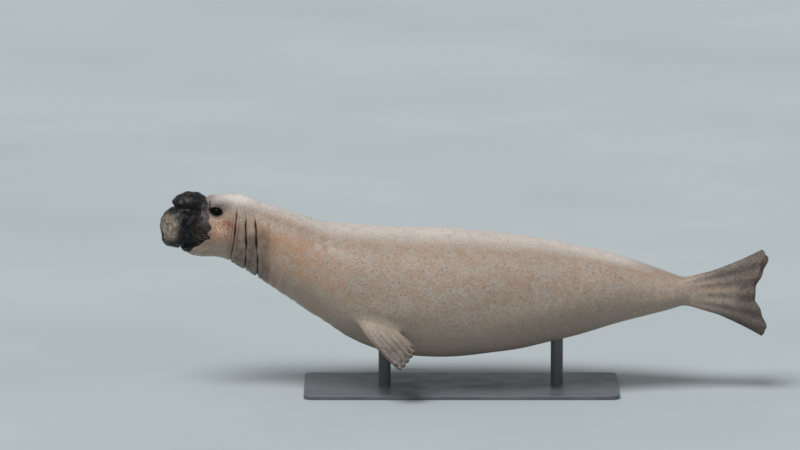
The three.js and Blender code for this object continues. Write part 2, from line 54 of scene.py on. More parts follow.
# The seal is drawn straight and in millimetres, as in its solids: x back from the trunk's front,
# y to its right, z up from the water level. straightToPose bends it and sets it over the stand.
pose = {
    "neckFrom": 1300, "neckTo": 760, "neckTurn": 4,
    "loinFrom": 2600, "loinTo": 3500, "loinTurn": 5,
    "baseMiddle": 2200, "waterLevel": 1125,
}
standLow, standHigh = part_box("stand_base")
shift = np.array([(standLow.x + standHigh.x) / 2, (standLow.y + standHigh.y) / 2, 0.0])


def straightToPose(points):
    # Past each bend's start a point goes round an arc, then on along the arc's last direction.
    x, y, z = points.T
    outX, outY = x.copy(), y.copy()
    for start, end, turn, way in (
        (pose["neckFrom"], pose["neckTo"], pose["neckTurn"], -1),
        (pose["loinFrom"], pose["loinTo"], pose["loinTurn"], 1),
    ):
        past = np.maximum((x - start) * way, 0)
        arc, full = abs(end - start), math.radians(turn)
        angle = full * np.minimum(past / arc, 1)
        radius, rest = arc / full, np.maximum(past - arc, 0)
        along = radius * np.sin(angle) + rest * np.cos(angle) + y * np.sin(angle)
        aside = radius * (1 - np.cos(angle)) + rest * np.sin(angle) - y * np.cos(angle)
        outX = np.where(past > 0, start + way * along, outX)
        outY = np.where(past > 0, -aside, outY)
    placed = np.stack([outX - pose["baseMiddle"], outY, z + pose["waterLevel"]], axis=1)
    return placed / 1000 + shift


def curveThrough(xs, ys):
    # Cubic pieces through the points, whose slope at each is the mean of its two sides'.
    xs, ys = np.array(xs, float), np.array(ys, float)
    slope = np.diff(ys) / np.diff(xs)
    tangent = np.concatenate([slope[:1], (slope[1:] + slope[:-1]) / 2, slope[-1:]])

    def at(x):
        x = np.clip(x, xs[0], xs[-1])
        i = np.clip(np.searchsorted(xs, x) - 1, 0, len(xs) - 2)
        width = xs[i + 1] - xs[i]
        t = (x - xs[i]) / width
        ends = ys[i] * (1 + 2 * t) * (1 - t) ** 2 + ys[i + 1] * t * t * (3 - 2 * t)
        return ends + width * t * (1 - t) * (tangent[i] * (1 - t) - tangent[i + 1] * t)

    return at


def ramp(value, low, high):
    # 0 below low, 1 above high, and a smooth step between them.
    t = np.clip((value - low) / (high - low), 0, 1)
    return t * t * (3 - 2 * t)


def band(value, rise, fall):
    # Comes in over the first range and goes out over the second.
    return ramp(value, *rise) * (1 - ramp(value, *fall))


# Body: x, height of the back, height of the belly, half width.
body = {
    "stations": [
        (300, 276, -85, 128), (450, 300, -140, 178), (550, 303, -195, 208), (700, 270, -285, 246),
        (910, 202, -425, 318), (1190, 113, -610, 405), (1400, 89, -740, 466), (1800, 68, -862, 512),
        (2300, 42, -862, 502), (2800, -18, -775, 436), (3200, -100, -668, 342),
        (3550, -200, -565, 245), (3780, -275, -505, 180), (3900, -325, -462, 104),
        (3980, -352, -432, 60), (4110, -375, -412, 30),
    ],
    "squareness": 2.2, "frontRounding": 150, "frontTaper": 0.75, "tailRounding": 60,
    "folds": [  # x, depth, half width, start below the crown in degrees, lean, waviness
        (535, 20, 7.4, 28, 0.13, 1.6), (618, 22, 8.0, 30, 0.01, 2.0), (690, 23, 9.0, 32, -0.05, 2.2),
        (514, 9, 5.0, 44, 0.12, 2.4), (494, 6, 5.0, 56, 0.08, 2.8), (563, 6, 6.0, 50, 0.08, 3.5),
        (652, 7, 8.0, 70, 0.02, 4.5), (742, 7, 9.0, 58, 0.0, 5.0), (790, 8, 10, 38, 0.0, 6.0),
        (835, 6, 10, 74, 0.0, 7.0), (905, 8, 13, 92, 0.0, 9.0), (985, 5, 14, 100, 0.0, 9.0),
    ],
    "foldFade": 26,
}
stationX, backs, bellies, halves = (np.array(c, float) for c in zip(*body["stations"]))
backAt, bellyAt, halfAt = (curveThrough(stationX, c) for c in (backs, bellies, halves))
bodyFront, tailTip = stationX[0], stationX[-1]
tailCore = tailTip - body["tailRounding"]


def middleAt(x):
    return (backAt(x) + bellyAt(x)) / 2


# Rounded masses of the head: middle, half sizes.
head = {
    "cranium": ((515, 0, 149), (205, 186, 158)),
    "muzzle": ((312, 0, 108), (188, 152, 166)),
    "jaw": ((335, 0, -52), (182, 116, 80)),
    "upperLobe": ((224, 0, 242), (141, 116, 105)),
    "lowerLobe": ((150, 0, 104), (150, 137, 140)),
    "trunkTip": ((112, 0, 6), (98, 110, 68)),
    "cheek": ((450, 106, 75), (132, 100, 128)),
    "brow": ((415, 86, 245), (92, 74, 60)),
    "pad": ((284, 98, 72), (84, 62, 66)),
    "softBlend": 70, "faceBlend": 45, "trunkBlend": 26, "lobeBlend": 14, "endsBy": 900,
}
# Lines that are pressed into the face, as side-view points, with depth, half width and how far
# from the middle plane they begin.
faceLines = {
    "crease": ([(70, 247), (150, 241), (215, 240), (278, 228)], 26, 11.5, 0),
    "mouth": ([(150, -56), (203, -38), (245, -22), (292, -4), (326, 14), (350, 34)], 12, 5.5, 0),
    "mouthEnd": ([(342, 26), (356, 40), (359, 58)], 8, 6, 0),
    "browFold": ([(360, 290), (356, 268), (359, 238)], 11, 6.5, 76),
    "padEdge": ([(282, 208), (262, 168), (240, 120), (230, 66), (234, 20)], 8, 13, 40),
    "tear": ([(384, 228), (366, 233), (352, 232)], 7, 5, 60),
    "underEye": ([(375, 178), (410, 168), (452, 178)], 3.5, 7, 60),
    "overEye": ([(360, 262), (398, 270), (446, 256)], 4, 8, 60),
}
eye = {
    "x": 412, "z": 220, "radius": 35, "sunk": 28, "forward": 0.24, "up": 0.12,
    "front": 44, "rear": 33, "upper": 26, "lower": 24, "tilt": 12, "almond": 1.7,
    # The lid's edge is tucked into the ball, then stands over it. A pair is where a change begins
    # and ends, as distances from the almond's middle of which 1 is its edge.
    "tucked": 7, "lid": 9.5, "lidRise": (0.84, 1.2), "lidShut": (0.95, 1.1), "lidFade": (1.35, 2.0),
    # The socket pair is where the painted shade round the sunken eye fades out.
    "lidReach": 85, "behind": 30, "rimReach": 110, "rim": (1.22, 1.8), "socket": (1.5, 3.0),
}
nostril = {"at": (20, 36, 26), "size": (26, 11, 23), "depth": 34}
earHole = {"x": 575, "z": 178, "radius": 7, "depth": 10}
# Old bites on the near side of the neck, as side-view lines.
weals = [
    [(808, 150), (801, 108), (792, 62)], [(700, 176), (696, 138)], [(622, 182), (619, 142)],
    [(860, 60), (884, 36)],
]
wrinkles = {
    "trunk": 3.4, "trunkEnds": (300, 380), "neck": 3.0, "neckStarts": (460, 620),
    "neckEnds": (1150, 1600), "smoothCrown": 90, "body": 5.0, "bodyStarts": (800, 1300),
}


def massDistance(mass, x, y, z):
    # Rough distance from an ellipsoid: its scaled radius times how far that is past 1.
    (ax, ay, az), (sx, sy, sz) = mass
    a, b, c = (x - ax) / sx, (y - ay) / sy, (z - az) / sz
    reach = np.sqrt(a * a + b * b + c * c)
    slope = np.sqrt((a / sx) ** 2 + (b / sy) ** 2 + (c / sz) ** 2)
    return reach * (reach - 1) / np.maximum(slope, 1e-9)


def melt(p, q, blend):
    # The lesser distance, lowered by a parabola where the two are nearly the same.
    near = np.maximum(blend - np.abs(p - q), 0) / blend
    return np.minimum(p, q) - near * near * blend / 4


def bodyDistance(x, y, z):
    # A superellipse section whose half height and half width follow the stations.
    front = np.clip((bodyFront + body["frontRounding"] - x) / body["frontRounding"], 0, 1)
    rear = np.clip((x - tailCore) / body["tailRounding"], 0, 1)
    ends = np.sqrt(np.maximum(1 - (body["frontTaper"] * front) ** 2 - rear**2, 1e-4))
    back, belly = backAt(x), bellyAt(x)
    half, tall = halfAt(x) * ends, (back - belly) / 2 * ends
    n = body["squareness"]
    reach = (np.abs(y / half) ** n + np.abs((z - (back + belly) / 2) / tall) ** n) ** (1 / n)
    past = np.maximum(bodyFront - x, x - tailTip)
    return np.maximum((reach - 1) * np.minimum(half, tall), past)


def lineDepth(line, x, y, z):
    # A bell-shaped dent along a side-view line: its depth falls off with distance from the line.
    path, depth, half, begin = line
    nearest = np.full(x.shape, 1e9)
    for (x0, z0), (x1, z1) in zip(path, path[1:]):
        dx, dz = x1 - x0, z1 - z0
        t = np.clip(((x - x0) * dx + (z - z0) * dz) / (dx * dx + dz * dz), 0, 1)
        nearest = np.minimum(nearest, np.hypot(x - x0 - t * dx, z - z0 - t * dz))
    shown = ramp(np.abs(y), begin - 12, begin + 12) if begin else 1.0
    return depth * shown * np.exp(-((nearest / half) ** 2))


def foldDepth(x, y, z):
    # Each fold is a bell-shaped dent across x that fades in down the side and wavers a little.
    down = np.degrees(np.arctan2(np.abs(y), z - middleAt(x)))
    total = np.zeros(x.shape)
    for place, depth, half, start, lean, wave in body["folds"]:
        line = place + lean * (z - 60)
        line = line + wave * np.sin(z / 37 + place) + wave * 0.5 * np.sin(z / 15 + y / 60)
        shown = ramp(down, start, start + body["foldFade"])
        uneven = 0.74 + 0.26 * np.sin(z / 29 + place * 1.7) * np.sin(z / 71 + place)
        width = half * (0.6 + 0.4 * shown) * uneven
        total += depth * shown * uneven * np.exp(-(np.abs((x - line) / width) ** 1.6))
    return total


def swell(x, y, z):
    # Low lumps and ripples of thick skin: products of sine waves whose lengths differ by part.
    side = np.abs(y)
    crown = ramp(z, backAt(x) - wrinkles["smoothCrown"], backAt(x))
    onTrunk = 1 - ramp(x, *wrinkles["trunkEnds"])
    onNeck = band(x, wrinkles["neckStarts"], wrinkles["neckEnds"]) * (1 - 0.75 * crown)
    onBody = ramp(x, *wrinkles["bodyStarts"])
    trunk = np.sin(x / 13 + 2.2 * np.sin(z / 41)) * np.sin(z / 17 + side / 23)
    neck = np.sin(x / 19 + 1.6 * np.sin(z / 60 + 1) + 1.9 * np.sin(x / 67))
    neck = neck * (0.5 + 0.5 * np.sin(z / 90 + x / 83))
    lumps = np.sin(x / 120 + 1.3 * np.sin(z / 150)) * np.sin(z / 105 + side / 130 + x / 300)
    return (wrinkles["trunk"] * onTrunk * trunk + wrinkles["neck"] * onNeck * neck
            + wrinkles["body"] * onBody * lumps)


def fleshDistance(x, y, z):
    # Masses melted together, less the dents. Both sides of the head are alike.
    out = melt(bodyDistance(x, y, z), massDistance(head["cranium"], x, y, z), head["softBlend"])
    face = x < head["endsBy"]
    if face.any():
        fx, side, fz = x[face], np.abs(y[face]), z[face]
        mass = lambda name: massDistance(head[name], fx, side, fz)
        soft, faceBlend, trunkBlend = head["softBlend"], head["faceBlend"], head["trunkBlend"]
        f = out[face]
        for name, blend in (("muzzle", soft), ("cheek", soft), ("jaw", faceBlend), ("brow", faceBlend)):
            f = melt(f, mass(name), blend)
        trunk = melt(mass("lowerLobe"), mass("trunkTip"), faceBlend)
        trunk = melt(trunk, mass("upperLobe"), head["lobeBlend"])
        f = melt(melt(f, trunk, trunkBlend), mass("pad"), trunkBlend)
        for line in faceLines.values():
            f = f + lineDepth(line, fx, side, fz)
        (nx, ny, nz), (sx, sy, sz) = nostril["at"], nostril["size"]
        bell = ((fx - nx) / sx) ** 2 + ((side - ny) / sy) ** 2 + ((fz - nz) / sz) ** 2
        f = f + nostril["depth"] * np.exp(-bell)
        bell = ((fx - earHole["x"]) ** 2 + (fz - earHole["z"]) ** 2) / earHole["radius"] ** 2
        out[face] = f + earHole["depth"] * np.exp(-bell)
    return out + foldDepth(x, y, z) + swell(x, y, z)


def surfaceAlong(origins, directions, reach=720.0, step=12.0, halvings=11):
    # Each ray is walked inwards until it meets flesh, and the crossing is then halved down to.
    def at(r, rows):
        p = origins[rows] + r[:, None] * directions[rows]
        return fleshDistance(p[:, 0], p[:, 1], p[:, 2])

    outside = np.full(len(origins), reach)
    walking = np.arange(len(origins))
    while len(walking):
        clear = at(outside[walking] - step, walking) > 0
        walking = walking[clear & (outside[walking] > 2 * step)]
        outside[walking] -= step
    inside = outside - step
    every = np.arange(len(origins))
    for _ in range(halvings):
        middle = (inside + outside) / 2
        clear = at(middle, every) > 0
        outside = np.where(clear, middle, outside)
        inside = np.where(clear, inside, middle)
    return (inside + outside) / 2


def sideOf(x, z):
    origin = np.array([[x, 0.0, z]])
    return float(surfaceAlong(origin, np.array([[0.0, 1.0, 0.0]]))[0])


def spreadBy(low, high, count, spacing):
    # Places from low to high whose gaps follow the spacing function.
    fine = np.linspace(low, high, 4000)
    load = np.concatenate([[0], np.cumsum(1 / spacing((fine[1:] + fine[:-1]) / 2))])
    return np.interp(np.linspace(0, load[-1], count), load, fine)


# Grid of the skin: rings along the body, columns round it, both closer together at the eyes,
# and rings closer at the folds.
grid = {
    "fanRings": 92, "bodyRings": 256, "columns": 236, "capLeans": (0.2, 0.4, 0.6, 0.8),
    "gaps": [  # x, and the gap between rings there
        (300, 5), (680, 5), (780, 8), (1100, 11), (1400, 30), (3600, 34), (3750, 16), (4050, 10),
    ],
    "eyeReach": 50, "foldReach": 17, "deepFolds": 4, "closerAtEye": 0.9, "closerAtFold": 1.4,
    "eyeColumn": 54, "eyeColumnReach": 13,  # degrees below the crown
}


def ringSpacing(x):
    base = np.interp(x, *zip(*grid["gaps"]))
    nearEye = np.exp(-(((x - eye["x"]) / grid["eyeReach"]) ** 4))
    nearFold = sum(np.exp(-(((x - fold[0]) / grid["foldReach"]) ** 4))
                   for fold in body["folds"][:grid["deepFolds"]])
    return base / (1 + grid["closerAtEye"] * nearEye + grid["closerAtFold"] * np.minimum(nearFold, 1))


def columnSpacing(a):
    below = np.abs(np.abs(np.degrees(a - np.pi)) - 180)
    nearEye = np.exp(-(((below - grid["eyeColumn"]) / grid["eyeColumnReach"]) ** 4))
    return 1 / (1 + grid["closerAtEye"] * nearEye)


def skinGrid():
    # Rays fan out forward from the front of the body, go straight out along it, and fan at the tail.
    around = spreadBy(0, 2 * np.pi, grid["columns"] + 1, columnSpacing)[:-1]
    leans = np.linspace(1, 0, grid["fanRings"] + 1)[1:-1]
    xs = spreadBy(bodyFront, tailCore, grid["bodyRings"], ringSpacing)
    rows = [(bodyFront, -1, lean) for lean in leans] + [(x, 1, 0.0) for x in xs]
    rows += [(tailCore, 1, lean) for lean in grid["capLeans"]]
    x, way, lean = (np.array(c, float)[:, None] for c in zip(*rows))
    turn = lean * np.pi / 2
    a = around[None, :]
    direction = np.stack(
        np.broadcast_arrays(way * np.sin(turn), np.sin(a) * np.cos(turn), np.cos(a) * np.cos(turn)), -1)
    origin = np.stack(np.broadcast_arrays(x, x * 0 + 0 * a, middleAt(x) + 0 * a), -1)
    o = np.concatenate([[[bodyFront, 0, middleAt(bodyFront)]], origin.reshape(-1, 3),
                        [[tailCore, 0, middleAt(tailCore)]]])
    d = np.concatenate([[[-1, 0, 0]], direction.reshape(-1, 3), [[1, 0, 0]]])
    return o + surfaceAlong(o, d)[:, None] * d, len(rows), len(around)


def easeCrease(points, rows, columns, rounds=4, width=18, fade=(285, 335)):
    # Where the upper lobe hangs over the lower one, points move towards the mean of their neighbours.
    sheet = points[1:-1].reshape(rows, columns, 3).copy()
    x, z = sheet[..., 0], sheet[..., 2]
    line = np.interp(x, *zip(*faceLines["crease"][0]))
    weight = (0.5 * np.exp(-(((z - line) / width) ** 2)) * (1 - ramp(x, *fade)))[1:-1, :, None]
    for _ in range(rounds):
        mean = (np.roll(sheet, 1, 1) + np.roll(sheet, -1, 1))[1:-1] / 4 + (sheet[:-2] + sheet[2:]) / 4
        sheet[1:-1] += weight * (mean - sheet[1:-1])
    return np.concatenate([points[:1], sheet.reshape(-1, 3), points[-1:]])


def closedFaces(rows, columns):
    # Quads between rings, and a fan of triangles to the point at each end.
    i, j = np.meshgrid(np.arange(rows - 1), np.arange(columns), indexing="ij")
    k = (j + 1) % columns
    at = lambda r, c: 1 + r * columns + c
    quads = np.stack([at(i, j), at(i + 1, j), at(i + 1, k), at(i, k)], -1).reshape(-1, 4)
    j = np.arange(columns)
    k = (j + 1) % columns
    last = rows * columns + 1
    first = np.stack([0 * j, at(0, j), at(0, k)], -1)
    end = np.stack([0 * j + last, at(rows - 1, k), at(rows - 1, j)], -1)
    return first.tolist() + quads.tolist() + end.tolist()


def closedUvs(rows, columns, place):
    # Across the unwrap goes round the form and up it goes along the form, inside the given place.
    u0, v0, u1, v1 = place
    along = v0 + (np.arange(rows) + 1) / (rows + 1) * (v1 - v0)
    across = u0 + np.arange(columns + 1) / columns * (u1 - u0)
    j = np.arange(columns)
    tri = lambda end, ring, flip: np.stack([
        np.stack([(across[j] + across[j + 1]) / 2, 0 * j + end], -1),
        np.stack([across[j + flip], 0 * j + ring], -1),
        np.stack([across[j + 1 - flip], 0 * j + ring], -1)], 1).reshape(-1, 2)
    i, j2 = np.meshgrid(np.arange(rows - 1), j, indexing="ij")
    quad = np.stack([
        np.stack([across[j2], along[i]], -1), np.stack([across[j2], along[i + 1]], -1),
        np.stack([across[j2 + 1], along[i + 1]], -1), np.stack([across[j2 + 1], along[i]], -1),
    ], 2).reshape(-1, 2)
    return np.concatenate([tri(v0, along[0], 0), quad, tri(v1, along[-1], 1)])


def newMesh(name, points, faces, uvs=None):
    mesh = bpy.data.meshes.new(name)
    mesh.from_pydata(points.tolist(), [], faces)
    if uvs is not None:
        layer = mesh.uv_layers.new(name="OFBake")
        layer.data.foreach_set("uv", np.asarray(uvs, np.float32).ravel())
    mesh.polygons.foreach_set("use_smooth", np.ones(len(mesh.polygons), bool))
    piece = bpy.data.objects.new(name, mesh)
    bpy.context.scene.collection.objects.link(piece)
    return piece


def readAll(items, key, width=1, kind=np.int32):
    values = np.empty(len(items) * width, kind)
    items.foreach_get(key, values)
    return values.reshape(-1, width) if width > 1 else values


def pointsOf(mesh):
    return readAll(mesh.vertices, "co", 3, np.float32).astype(float)


def setPoints(mesh, points):
    mesh.vertices.foreach_set("co", points.astype(np.float32).ravel())
    mesh.update()


def addMark(mesh, name, values):
    mark = mesh.attributes.new(name, "FLOAT", "POINT")
    mark.data.foreach_set("value", values.astype(np.float32))


def faceOutwards(piece):
    # Each triangle and the origin hold a signed volume. A sum below zero means inside out.
    mesh = piece.data
    mesh.calc_loop_triangles()
    corners = readAll(mesh.loop_triangles, "vertices", 3)
    a, b, c = (pointsOf(mesh)[corners[:, i]] for i in range(3))
    if np.einsum("ij,ij->i", a, np.cross(b, c)).sum() < 0:
        mesh.flip_normals()
    return piece


def markedPiece(name, points, faces, markName, values):
    # A closed piece that is built straight, marked, and then bent and set over the stand.
    piece = faceOutwards(newMesh(name, points / 1000, faces))
    addMark(piece.data, markName, values)
    setPoints(piece.data, straightToPose(points))
    return piece


def eyeAxes(side):
    out = np.array([-eye["forward"], side, eye["up"]])
    out /= np.linalg.norm(out)
    up = np.array([0, 0, 1.0]) - out[2] * out
    up /= np.linalg.norm(up)
    along = np.array([-1.0, 0, 0]) + out[0] * out
    along -= (along @ up) * up
    return out, up, along / np.linalg.norm(along)


eyeSide = sideOf(eye["x"], eye["z"]) - eye["sunk"]


def eyeMiddle(side):
    return np.array([eye["x"], side * eyeSide, eye["z"]])


def eyePlace(points, side):
    # Place in the eye's own axes, and how far out from the almond's middle: 1 on its edge.
    out, up, along = eyeAxes(side)
    rel = points - eyeMiddle(side)
    a, b, c = rel @ along, rel @ up, rel @ out
    turn = math.radians(eye["tilt"])
    ta = a * math.cos(turn) + b * math.sin(turn)
    tb = b * math.cos(turn) - a * math.sin(turn)
    wide = np.where(ta > 0, eye["front"], eye["rear"])
    tall = np.where(tb > 0, eye["upper"], eye["lower"])
    power = eye["almond"]
    edge = ((np.abs(ta) / wide) ** power + (np.abs(tb) / tall) ** power) ** (1 / power)
    return a, b, c, edge


def openLids(points):
    # Round the almond the skin rises from inside the eyeball to a rounded lid over it.
    for side in (-1, 1):
        a, b, c, edge = eyePlace(points, side)
        near = (np.hypot(a, b) < eye["lidReach"]) & (c > -eye["behind"])
        a, b, c, edge = a[near], b[near], c[near], edge[near]
        rise = (eye["tucked"] + eye["lid"]) * ramp(edge, *eye["lidRise"]) - eye["tucked"]
        ball = np.sqrt(np.maximum((eye["radius"] + rise) ** 2 - a * a - b * b, 0))
        over, keep = ramp(edge, *eye["lidShut"]), ramp(edge, *eye["lidFade"])
        lidded = np.maximum(c, ball) * over + np.minimum(c, ball) * (1 - over)
        points[near] += (lidded * (1 - keep) + c * keep - c)[:, None] * eyeAxes(side)[0]
    return points


# Flippers: root inside the flesh, span, lengths, half chord, half thickness.
foreFlipper = {
    "root": (1490, 350, -470), "span": (0.5, 0.62, -0.6), "length": (600, 490),
    "half": (104, 110, 104), "thick": (56, 22, 7), "edge": 3.5, "sweep": 60, "droop": 27.6,
    "camber": 8, "web": 14, "digits": (-0.82, -0.42, 0, 0.41, 0.8), "ridge": 6, "round": 34,
    "rows": 56, "columns": 36,
}
hindFlipper = {
    "root": (3700, 88, -386), "length": 812, "inner": 165, "half": 66, "spread": 16.5,
    "spreadAtRoot": 0.7, "spreadGrowth": 0.42, "pitch": (-2, 3), "toeOut": 26, "cup": 46,
    "thick": (46, 17, 5.5), "edge": 3, "web": 15, "round": 60, "ridge": 11,
    "digits": (-0.86, -0.45, 0, 0.45, 0.86), "rows": 64, "columns": 44,
}
digitHalf, knuckleHeight, edgeCrowding = 0.16, 0.35, 1.32


def nearDigit(shape, across):
    return np.max([np.exp(-(((across - d) / digitHalf) ** 2)) for d in shape["digits"]], axis=0)


def through(values, t):
    return curveThrough([0, 0.5, 1], values)(t)


def flipperHalf(shape, along, across):
    # Half thickness: an arch across the flipper, with a ridge over each digit, and low joints in it.
    arch = np.sqrt(np.maximum(1 - across**2, 0))
    digit = nearDigit(shape, across)
    knuckle = 1 + knuckleHeight * np.sin(along * 21 + across) * ramp(along, 0.5, 0.7)
    ridge = shape["ridge"] * digit * np.clip(along * 2, 0, 1) * knuckle
    return np.maximum(through(shape["thick"], along) * arch + ridge * np.sqrt(arch), shape["edge"])


def foreAxes(side):
    # Directions out along the flipper's span and back along its chord.
    span = np.array(foreFlipper["span"]) * [1, side, 1]
    span /= np.linalg.norm(span)
    chord = np.array([1.0, 0, 0]) - span[0] * span
    return span, chord / np.linalg.norm(chord)


def forePoint(side, along, across):
    # Mid surface: out along the span, across along the chord, swept back and drooping to the tip.
    span, chord = foreAxes(side)
    out = np.cross(chord, span) * side
    lead, trail = foreFlipper["length"]
    web = foreFlipper["web"] * (1 - nearDigit(foreFlipper, across)) * along**4
    length = lead + (trail - lead) * (across + 1) / 2 - web - foreFlipper["round"] * across**6
    aside = across * through(foreFlipper["half"], along) + foreFlipper["sweep"] * along**2
    down = foreFlipper["droop"] * along**2 + foreFlipper["camber"] * across**2
    point = np.array(foreFlipper["root"]) * [1, side, 1] + (along * length)[..., None] * span
    return point + aside[..., None] * chord - down[..., None] * out, out


def hindFan(along, across=1.0):
    # Degrees from the middle digit, a little more towards the tip.
    growth = hindFlipper["spreadAtRoot"] + hindFlipper["spreadGrowth"] * along
    return hindFlipper["spread"] * across * growth


def hindPoint(side, along, across):
    # Mid surface: digits fan out up and down from the root, the outer ones longest.
    turn = np.radians(hindFan(along, across) + hindFlipper["pitch"][side > 0])
    web = hindFlipper["web"] * (1 - nearDigit(hindFlipper, across)) * along**4
    length = hindFlipper["length"] - hindFlipper["inner"] * (1 - np.abs(across) ** 1.6) - web
    length = length - hindFlipper["round"] * across**8
    far = along * length
    x0, y0, z0 = hindFlipper["root"]
    point = np.stack([
        x0 + far * np.cos(turn),
        side * (y0 + hindFlipper["toeOut"] * along - hindFlipper["cup"] * across**2 * along**2),
        z0 - across * hindFlipper["half"] - far * np.sin(turn)], -1)
    return point, np.array([0, side, 0.0])


def flipperMesh(name, shape, pointAt, side, place):
    # A closed strip: over the outer face, round the rear edge, back over the inner face, capped.
    step = 1
    rows, columns = shape["rows"] // step, shape["columns"] // step
    crowded = np.sin(np.linspace(-1, 1, columns + 1) * edgeCrowding) / math.sin(edgeCrowding)
    along, across = np.meshgrid(np.linspace(0, 1, rows + 1), crowded, indexing="ij")
    middle, out = pointAt(side, along, across)
    half = flipperHalf(shape, along, across)[..., None]
    rings = np.concatenate([middle + half * out, (middle - half * out)[:, ::-1]], axis=1)
    points = np.concatenate([np.mean(rings[0], axis=0)[None], rings.reshape(-1, 3)])
    # The tip is closed by a strip between its two edges, in place of the last fan.
    count = rings.shape[1]
    k = np.arange(count // 2 - 1)
    strip = len(points) - count + np.stack([count - 1 - k, count - 2 - k, k + 1, k], 1)
    faces = closedFaces(rows + 1, count)[:-count] + strip.tolist()
    uvs = closedUvs(rows + 1, count, place)[: -3 * count]
    edgeUv = np.array([place[0], place[3]]) + 0.004 * np.array([[0, 0], [1, 0], [1, 1], [0, 1]])
    uvs = np.concatenate([uvs, np.tile(edgeUv, (len(strip), 1))])
    return faceOutwards(newMesh(name, points / 1000, faces, uvs))


def placeKeys(mesh):
    # One whole number for each point, packed from its place in hundredths of a millimetre.
    cells = np.rint(pointsOf(mesh) * 1e5).astype(np.int64) + 2**20
    return cells @ np.array([2**42, 2**21, 1])


def joinToSkin(skin, parts):
    # The flippers grow out of the skin: a union, whose new points are those on the seams.
    before = np.concatenate([placeKeys(piece.data) for piece in (skin, *parts)])
    for part in parts:
        union = skin.modifiers.new(part.name, "BOOLEAN")
        union.operation, union.solver, union.object = "UNION", "MANIFOLD", part
    evaluated = skin.evaluated_get(bpy.context.evaluated_depsgraph_get())
    joined = bpy.data.meshes.new_from_object(evaluated)
    skin.modifiers.clear()
    skin.data = joined
    for part in parts:
        bpy.data.objects.remove(part)
    return pointsOf(joined) * 1000, ~np.isin(placeKeys(joined), before)


def easeSeam(mesh, points, fresh, width=46.0, rounds=70, samples=500):
    # Near the seam each point moves half way to the mean of its neighbours, again and again.
    seam = points[fresh]
    distance = np.full(len(points), 1e9)
    for place in seam[:: max(len(seam) // samples, 1)]:
        distance = np.minimum(distance, np.linalg.norm(points - place, axis=1))
    near = distance < width * 2.2
    weight = (0.5 * np.exp(-((distance / width) ** 2)) * near)[:, None]
    edges = readAll(mesh.edges, "vertices", 2)
    edges = edges[near[edges].all(axis=1)]
    a, b = np.concatenate([edges, edges[:, ::-1]]).T
    count = np.maximum(np.bincount(a, minlength=len(points)), 1)
    for _ in range(rounds):
        mean = np.stack([np.bincount(a, points[b, k], len(points)) for k in range(3)], 1) / count[:, None]
        points = points + weight * (mean - points)
    return points


def betweenDigits(x, y, z):
    # The web of each flipper, from the point's place along and across it.
    span, chord = foreAxes(1)
    reach = np.stack([x, np.abs(y), z], 1) - foreFlipper["root"]
    along = np.clip(reach @ span / np.mean(foreFlipper["length"]), 0, 1)
    across = (reach @ chord - foreFlipper["sweep"] * along**2) / through(foreFlipper["half"], along)
    fore = (1 - nearDigit(foreFlipper, across)) * ramp(along, 0.3, 0.8)
    x0, _, z0 = hindFlipper["root"]
    far = np.maximum(x - x0, 0)
    along = np.minimum(far / hindFlipper["length"], 1)
    pitch = np.radians(np.where(y < 0, *hindFlipper["pitch"]))
    half = hindFlipper["half"] + far * np.tan(np.radians(hindFan(along)))
    across = (z0 - z - far * np.tan(pitch)) / half
    hind = (1 - nearDigit(hindFlipper, across)) * ramp(along, 0.08, 0.45)
    return np.where(x > coatLines["rearPart"], hind, fore)


# Markings of the coat. Patches: middle x and z in the side view, half sizes, how squarely they end.
patches = {
    "ash": (326, 176, 42, 92, 1.3), "blotch": (188, 158, 52, 62, 1.4), "patch": (58, 98, 70, 92, 2),
    "brow": (410, 256, 108, 56, 1.3), "cheek": (430, 96, 104, 98, 1.1), "blush": (484, 138, 50, 36, 1),
    # The cheek's middle has a painted highlight, a bright pale spot of wet sheen.
    "paintedCheekHighlight": (440, 100, 46, 48, 1), "pad": (292, 66, 66, 66, 1.6),
}
coatLines = {
    "muzzleEdge": [  # z, and the x where the dark skin of the trunk and muzzle ends
        (-120, 130), (-40, 262), (0, 338), (30, 360), (60, 344), (120, 344), (180, 356), (235, 358),
        (270, 348), (310, 334),
    ],
    # The pale top of the back is painted sheen, standing for light off its wet hair.
    "top": ((350, 430), (3300, 3700)), "warm": ((480, 740), (900, 1500)),  # x where they come and go
    # The first two ranges on the next line are where the painted shade low on the neck comes and goes.
    "paintedNeckShade": ((470, 560), (720, 860)), "under": (500, 900), "rearPart": 3000,
    # Painted shade in the folds and the pressed lines grows with their depth and is full at about these
    # depths.
    "fullShadeDepth": {"fold": 19, "line": 14, "underEye": 60},  # depth in millimetres that looks quite dark
}


